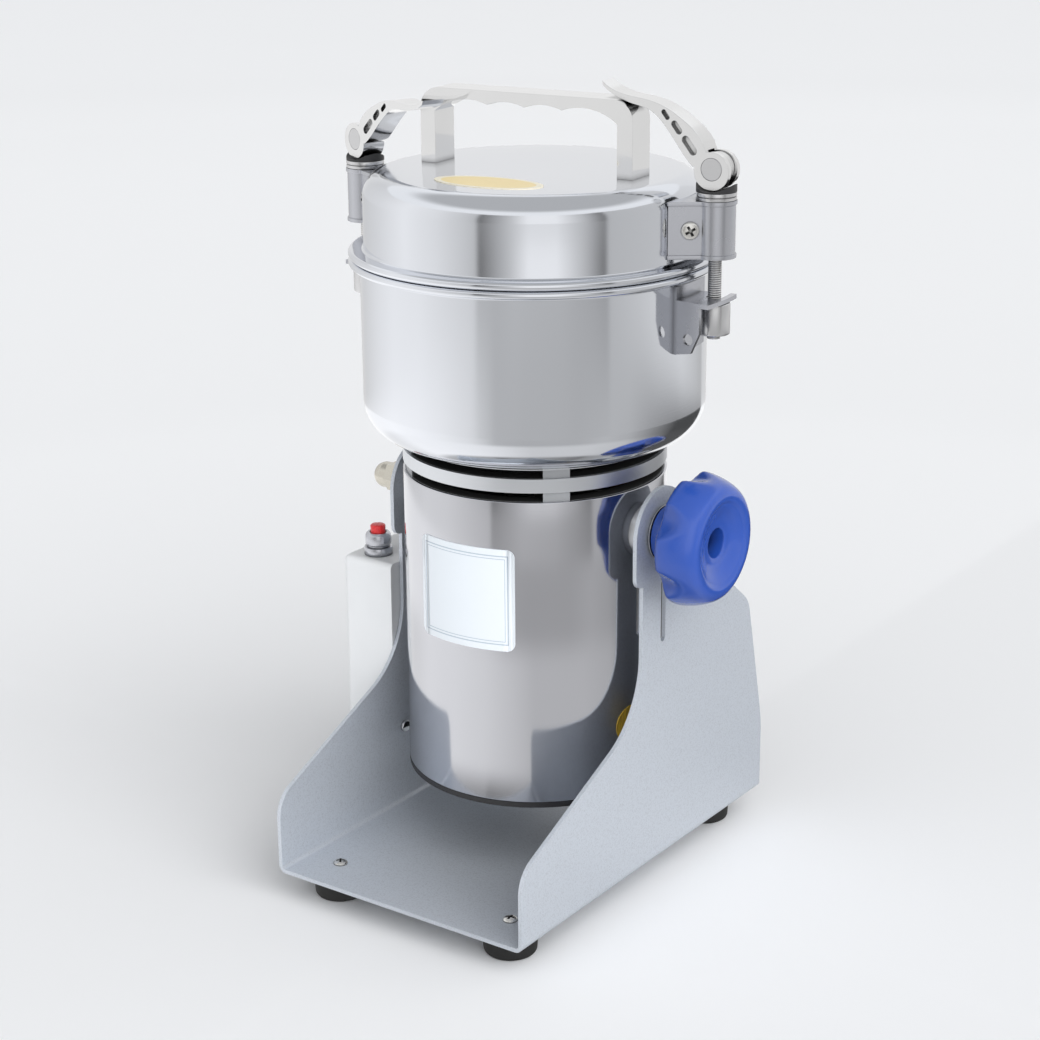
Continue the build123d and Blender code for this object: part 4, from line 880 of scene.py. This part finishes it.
# Solids whose edges only need rounding: node, new name, body, edge in mm, segments, angle in degrees
SOFTENED = [
    ("stand", "stand_sheet", "stand", 0.45, 2, 30),
    ("bottom_cover", "cover_plate", "head", 0.25, 2, 40),
    ("vent_collar", "collar_rings", "head", 0.35, 2, 40),
    ("pivot_bosses", "pivot_boss_pair", "head", 0.4, 2, 40),
    ("clamp_stud", "knob_stud", "head", 0.4, 2, 40),
    ("pivot_bolt", "left_pivot_bolt", "head", 0.4, 2, 40),
    ("pivot_washers", "pivot_washer_pair", "head", 0.2, 2, 40),
    ("lock_nut", "pivot_lock_nut", "head", 0.4, 2, 40),
    ("cap_nut", "pivot_cap_nut", "head", 0.4, 2, 40),
    ("fork_brackets", "fork_bracket_pair", "head", 0.3, 2, 40),
    ("bracket_rivets", "rivet_heads", "head", 0.8, 3, 40),
    ("round_label", "can_label", "head", 0.0, 1, 40),
    ("rating_plate", "blank_rating_plate", "head", 0.0, 1, 40),
    ("handle", "lid_handle", "lid", 2.2, 4, 40),
    ("lid_label", "lid_oval", "lid", 0.0, 1, 40),
    ("clamp_blocks", "clamp_block_pair", "lid", 0.4, 2, 40),
    ("switch_box", "box_shell", "stand", 0.2, 1, 50),
    ("box_screws", "box_screw_set", "stand", 0.5, 2, 40),
    ("cord_bush", "cord_entry", "stand", 0.6, 3, 40),
    ("switch_body", "switch_frame", "stand", 0.4, 2, 40),
    ("switch_rocker", "rocker", "switch_rocker", 0.5, 3, 30),
    ("blades", "blade_set", "rotor", 0.4, 2, 40),
]
OWN_FINISH = {
    "lid_label": OVAL_LABEL,
    "vent_collar": COLLAR,
    "clamp_blocks": SATIN_ZINC,
    "fork_brackets": SATIN_ZINC,
    "cap_nut": DULL_NICKEL,
    "lock_nut": DULL_NICKEL,
}


def softened_solids():
    for node, name, body, edge, segments, angle in SOFTENED:
        piece = refined(node, name, edge, segments, angle)
        dress(piece, body, node, OWN_FINISH.get(node))


# Circuit breaker, back of the switch box and reset button
NECK_OUTLINE = [
    (4.1, 142.0), (6.9, 142.0), (7.1, 142.3), (7.1, 145.6), (6.9, 146.0), (5.6, 146.3), (5.6, 147.0),
    (6.2, 147.3), (6.5, 147.8), (6.5, 151.6), (6.0, 152.8), (5.2, 153.5), (4.3, 153.5), (4.1, 153.2),
    (4.1, 142.0),
]
BUTTON_OUTLINE = [
    (0.0, 146.5), (3.8, 146.5), (3.8, 156.3), *arc(2.8, 156.3, 1.0, 0, 80, 5), (1.4, 157.45), (0.0, 157.5),
]


def breaker():
    neck = lathe("breaker_neck", NECK_OUTLINE, SIDES_OF_FITTING)
    settle(neck, at(BREAKER_ACROSS, BREAKER_BACK))
    case_middle = (BREAKER_ACROSS, BREAKER_BACK, BREAKER_CASE_HEIGHT)
    case = block("breaker_case", BREAKER_CASE_SIZE, case_middle)
    dress(join("breaker_assembly", [neck, case]), "stand", "breaker", SATIN_ZINC)


def box_back_panel():
    """Thin panel that shuts the open back of the switch box where it reaches past the plate."""
    slot = slot_of["switch_box"]
    panel = block("box_back_panel", BOX_BACK_SIZE, BOX_BACK_MIDDLE)
    finish_piece(panel, "stand", FINISHES[slot], slot)


def reset_button():
    button = lathe("red_button", BUTTON_OUTLINE, SIDES_OF_BUTTON)
    settle(button, at(BREAKER_ACROSS, BREAKER_BACK))
    dress(button, "reset_button", "reset_button")


# Screws in the slanting flanks of the clamp blocks
def flank_screws():
    along = 9.6
    gap = 0.3
    askew = 0.5
    start = math.sqrt(LID_RADIUS**2 - BLOCK_SPREAD**2) + gap
    lean = math.atan2(BLOCK_SPREAD - BLOCK_WAIST, ROD_REACH - start)
    out = start + along * math.cos(lean)
    quarter = math.pi / 2
    spots = []
    for turn in (CLAMP_TURN, CLAMP_TURN + 180):
        for side in (-1, 1):
            across = side * (BLOCK_SPREAD - along * math.sin(lean))
            place = on_motor_axis(turn) @ at(out, across, BLOCK_SCREW_HEIGHT)
            face = turned(side * (quarter - lean)) @ turned(quarter, "Y")
            spots.append(place @ face @ turned(askew))
    screw = pan_screw("block_screw", head_radius=4.0, head_height=1.8, cross=2.4)
    set_of("block_screw_heads", screw, spots, "lid", "block_screws", SCREW_STEEL)


# Tones that the steel mirrors, each with its angle round the object from the camera in degrees
NEAR_TONES = [
    (-126, 0.95), (-100, 1.12), (-70, 1.08), (-41, 0.98), (-20, 0.84), (-2, 0.70), (37, 0.69), (62, 0.62),
    (82, 0.34), (105, 0.10), (178, 0.10),
]
CAN_TONES = [
    (-150, 1.10), (-107, 1.18), (-82, 1.12), (-61, 1.02), (-42, 0.88), (-32, 0.70), (-25, 0.54),
    (-7, 0.50), (27, 0.50), (45, 0.56), (62, 0.50), (82, 0.28), (105, 0.08), (178, 0.08),
]
BOWL_TONES = [
    (-149, 0.72), (-122, 0.91), (-104, 1.0), (-79, 0.96), (-47, 0.76), (-38.5, 0.72), (-36, 0.44),
    (-28, 0.50), (-12, 0.62), (16, 0.56), (38, 0.42), (46, 0.36), (49, 0.58), (85, 0.77), (110, 0.80),
    (140, 0.55),
]
LID_TONES = [
    (-152, 0.68), (-123, 0.82), (-94, 1.0), (-67, 0.86), (-47, 0.70), (-38.5, 0.62), (-36, 0.24),
    (-16, 0.62), (-4, 0.86), (14, 0.86), (33, 0.56), (46, 0.26), (49, 0.56), (88, 0.62), (120, 0.75),
]
WALL_TONES = [
    (-178, 0.86), (-152, 0.74), (-123, 0.84), (-94, 1.0), (-67, 0.88), (-47, 0.70), (-38.5, 0.60),
    (-36, 0.18), (-16, 0.62), (-4, 1.0), (14, 1.0), (33, 0.56), (46, 0.20), (49, 0.56), (88, 0.62),
    (120, 0.75), (178, 0.86),
]
# Where on the card each ring of tones takes over from the one inside it, in metres from the motor axis
CARD_RINGS = [
    (0.13, 0.17, NEAR_TONES),
    (0.34, 0.46, CAN_TONES),
    (0.76, 0.88, BOWL_TONES),
    (1.42, 1.48, LID_TONES),
]
INNERMOST_PART = 0.55
CARD_INNER = 0.06
CARD_OUTER = 3.0
CARD_HEIGHT = 0.001
WALL_FROM = 0.01
WALL_HEIGHT = 1.9
CARD_SIDES = 128

# Floor, world and key light
FLOOR_SIZE = 14
FLOOR_TONE = (0.920, 0.926, 0.940)
WORLD_COLOUR = (0.98, 0.99, 1.0, 1)
WORLD_LEVEL = 0.69
WORLD_GAIN_RIGHT = 0.85
WORLD_LOSS_BACK = 0.44
WORLD_LOWEST = 0.15
MIRRORED_LEVEL = 0.98
MIRRORED_TOP = (0.62, 0.80)
MIRRORED_TOP_LOSS = 0.45
BACKDROP_LEVEL = 0.9
KEY_STRENGTH = 1.15
KEY_SPREAD = 60
KEY_WAY = (-0.75, 0.30, -0.59)

# Camera solved from the photograph: angles in degrees, place and lens in mm
CAMERA_YAW = 35.56
CAMERA_PITCH = 18.21
CAMERA_ROLL = -0.48
CAMERA_PLACE = (590.0, AXIS_BACK - 842.1, 511.3)
CAMERA_SENSOR = 36.0
CAMERA_LENS = 78.48
CAMERA_SHIFT = (0.00503, -0.00164)


def card_tones():
    """Glowing rings of grey, dark to rays that a matt face has thrown back."""
    card = Finish("grey_card")
    turn = card.x.turn_from(card.y * -1.0) - CAMERA_YAW
    reach = length_of(card.x, card.y)

    def ring_of(tones, part=1.0):
        stops = [((angle + 180) / 360, grey(level * part)) for angle, level in tones]
        return card.ramp(turn / 360 + 0.5, stops)

    level = ring_of(BOWL_TONES, INNERMOST_PART)
    for start, end, tones in CARD_RINGS:
        level = card.mix(reach.step_between(start, end), level, ring_of(tones))
    level = card.mix(card.z > WALL_FROM, level, ring_of(WALL_TONES))
    card.set(
        Base_Color=grey(0.0),
        Specular_IOR_Level=0.0,
        Emission_Color=card.mix(card.unscattered(), grey(0.0), level),
        Emission_Strength=1.0,
    )
    return card.material


def reflector_card():
    """Toned card round the object, seen only in reflections, that gives the steel its grey bands."""
    clear_selection()
    middle = (0, 0, CARD_HEIGHT)
    widen = CARD_OUTER / CARD_INNER
    bpy.ops.mesh.primitive_circle_add(
        vertices=CARD_SIDES, radius=CARD_INNER, fill_type="NOTHING", location=middle
    )
    card = bpy.context.active_object
    card.name = "reflector_card"
    edit_all(card)
    bpy.ops.mesh.extrude_edges_move(TRANSFORM_OT_translate={"value": (0, 0, 0)})
    bpy.ops.transform.resize(value=(widen, widen, 1), center_override=middle)
    bpy.ops.mesh.extrude_edges_move(TRANSFORM_OT_translate={"value": (0, 0, WALL_HEIGHT)})
    bpy.ops.object.mode_set(mode="OBJECT")
    card.data.materials.append(card_tones())
    card.visible_camera = False
    card.visible_diffuse = False
    card.visible_shadow = False


def studio_floor():
    clear_selection()
    bpy.ops.mesh.primitive_plane_add(size=FLOOR_SIZE, location=(0, 0, 0))
    floor = bpy.context.active_object
    floor.name = "studio_floor"
    cloth = Finish("studio_floor")
    cloud = cloth.noise(2.0)
    cloth.set(
        Base_Color=cloth.mix(cloud, colour_of(FLOOR_TONE, 0.995), colour_of(FLOOR_TONE)),
        Roughness=0.9,
    )
    floor.data.materials.append(cloth.material)


def studio_world():
    """Soft light from the right, with levels of its own for mirrored rays and for the camera."""
    sky = Sky("studio_world")
    soft = (WORLD_LEVEL + sky.x * WORLD_GAIN_RIGHT - sky.y * WORLD_LOSS_BACK).highest(WORLD_LOWEST)
    mirrored = MIRRORED_LEVEL - sky.z.step_between(*MIRRORED_TOP) * MIRRORED_TOP_LOSS
    glossy = sky.ray("Is Glossy Ray") * sky.unscattered()
    camera = sky.ray("Is Camera Ray")
    sky.set(
        Color=WORLD_COLOUR,
        Strength=soft + glossy * (mirrored - soft) + camera * (BACKDROP_LEVEL - soft),
    )


def key_light():
    data = bpy.data.lights.new("key_light", "SUN")
    data.energy = KEY_STRENGTH
    data.angle = math.radians(KEY_SPREAD)
    key = bpy.data.objects.new("key_light", data)
    bpy.context.scene.collection.objects.link(key)
    key.matrix_world = Vector(KEY_WAY).to_track_quat("-Z", "Y").to_matrix().to_4x4()
    key.visible_glossy = False


def aim_camera():
    yaw, pitch, roll = (math.radians(a) for a in (CAMERA_YAW, CAMERA_PITCH, CAMERA_ROLL))
    level = math.cos(pitch)
    ahead = Vector((-math.sin(yaw) * level, math.cos(yaw) * level, -math.sin(pitch)))
    across = ahead.cross(Vector((0, 0, 1))).normalized()
    above = across.cross(ahead)
    right = across * math.cos(roll) + above * math.sin(roll)
    up = above * math.cos(roll) - across * math.sin(roll)
    data = bpy.data.cameras.new("photo_camera")
    data.sensor_width = CAMERA_SENSOR
    data.lens = CAMERA_LENS
    data.shift_x, data.shift_y = CAMERA_SHIFT
    camera = bpy.data.objects.new("photo_camera", data)
    bpy.context.scene.collection.objects.link(camera)
    camera.matrix_world = at(*CAMERA_PLACE) @ Matrix((right, up, -ahead)).transposed().to_4x4()
    bpy.context.scene.camera = camera


bowl_shell()
lid_shell()
can_shell()
feet_and_screws()
star_knob()
clamp_sides()
softened_solids()
breaker()
box_back_panel()
reset_button()
flank_screws()
reflector_card()
studio_floor()
studio_world()
key_light()
aim_camera()
bpy.context.scene.view_settings.view_transform = "Standard"
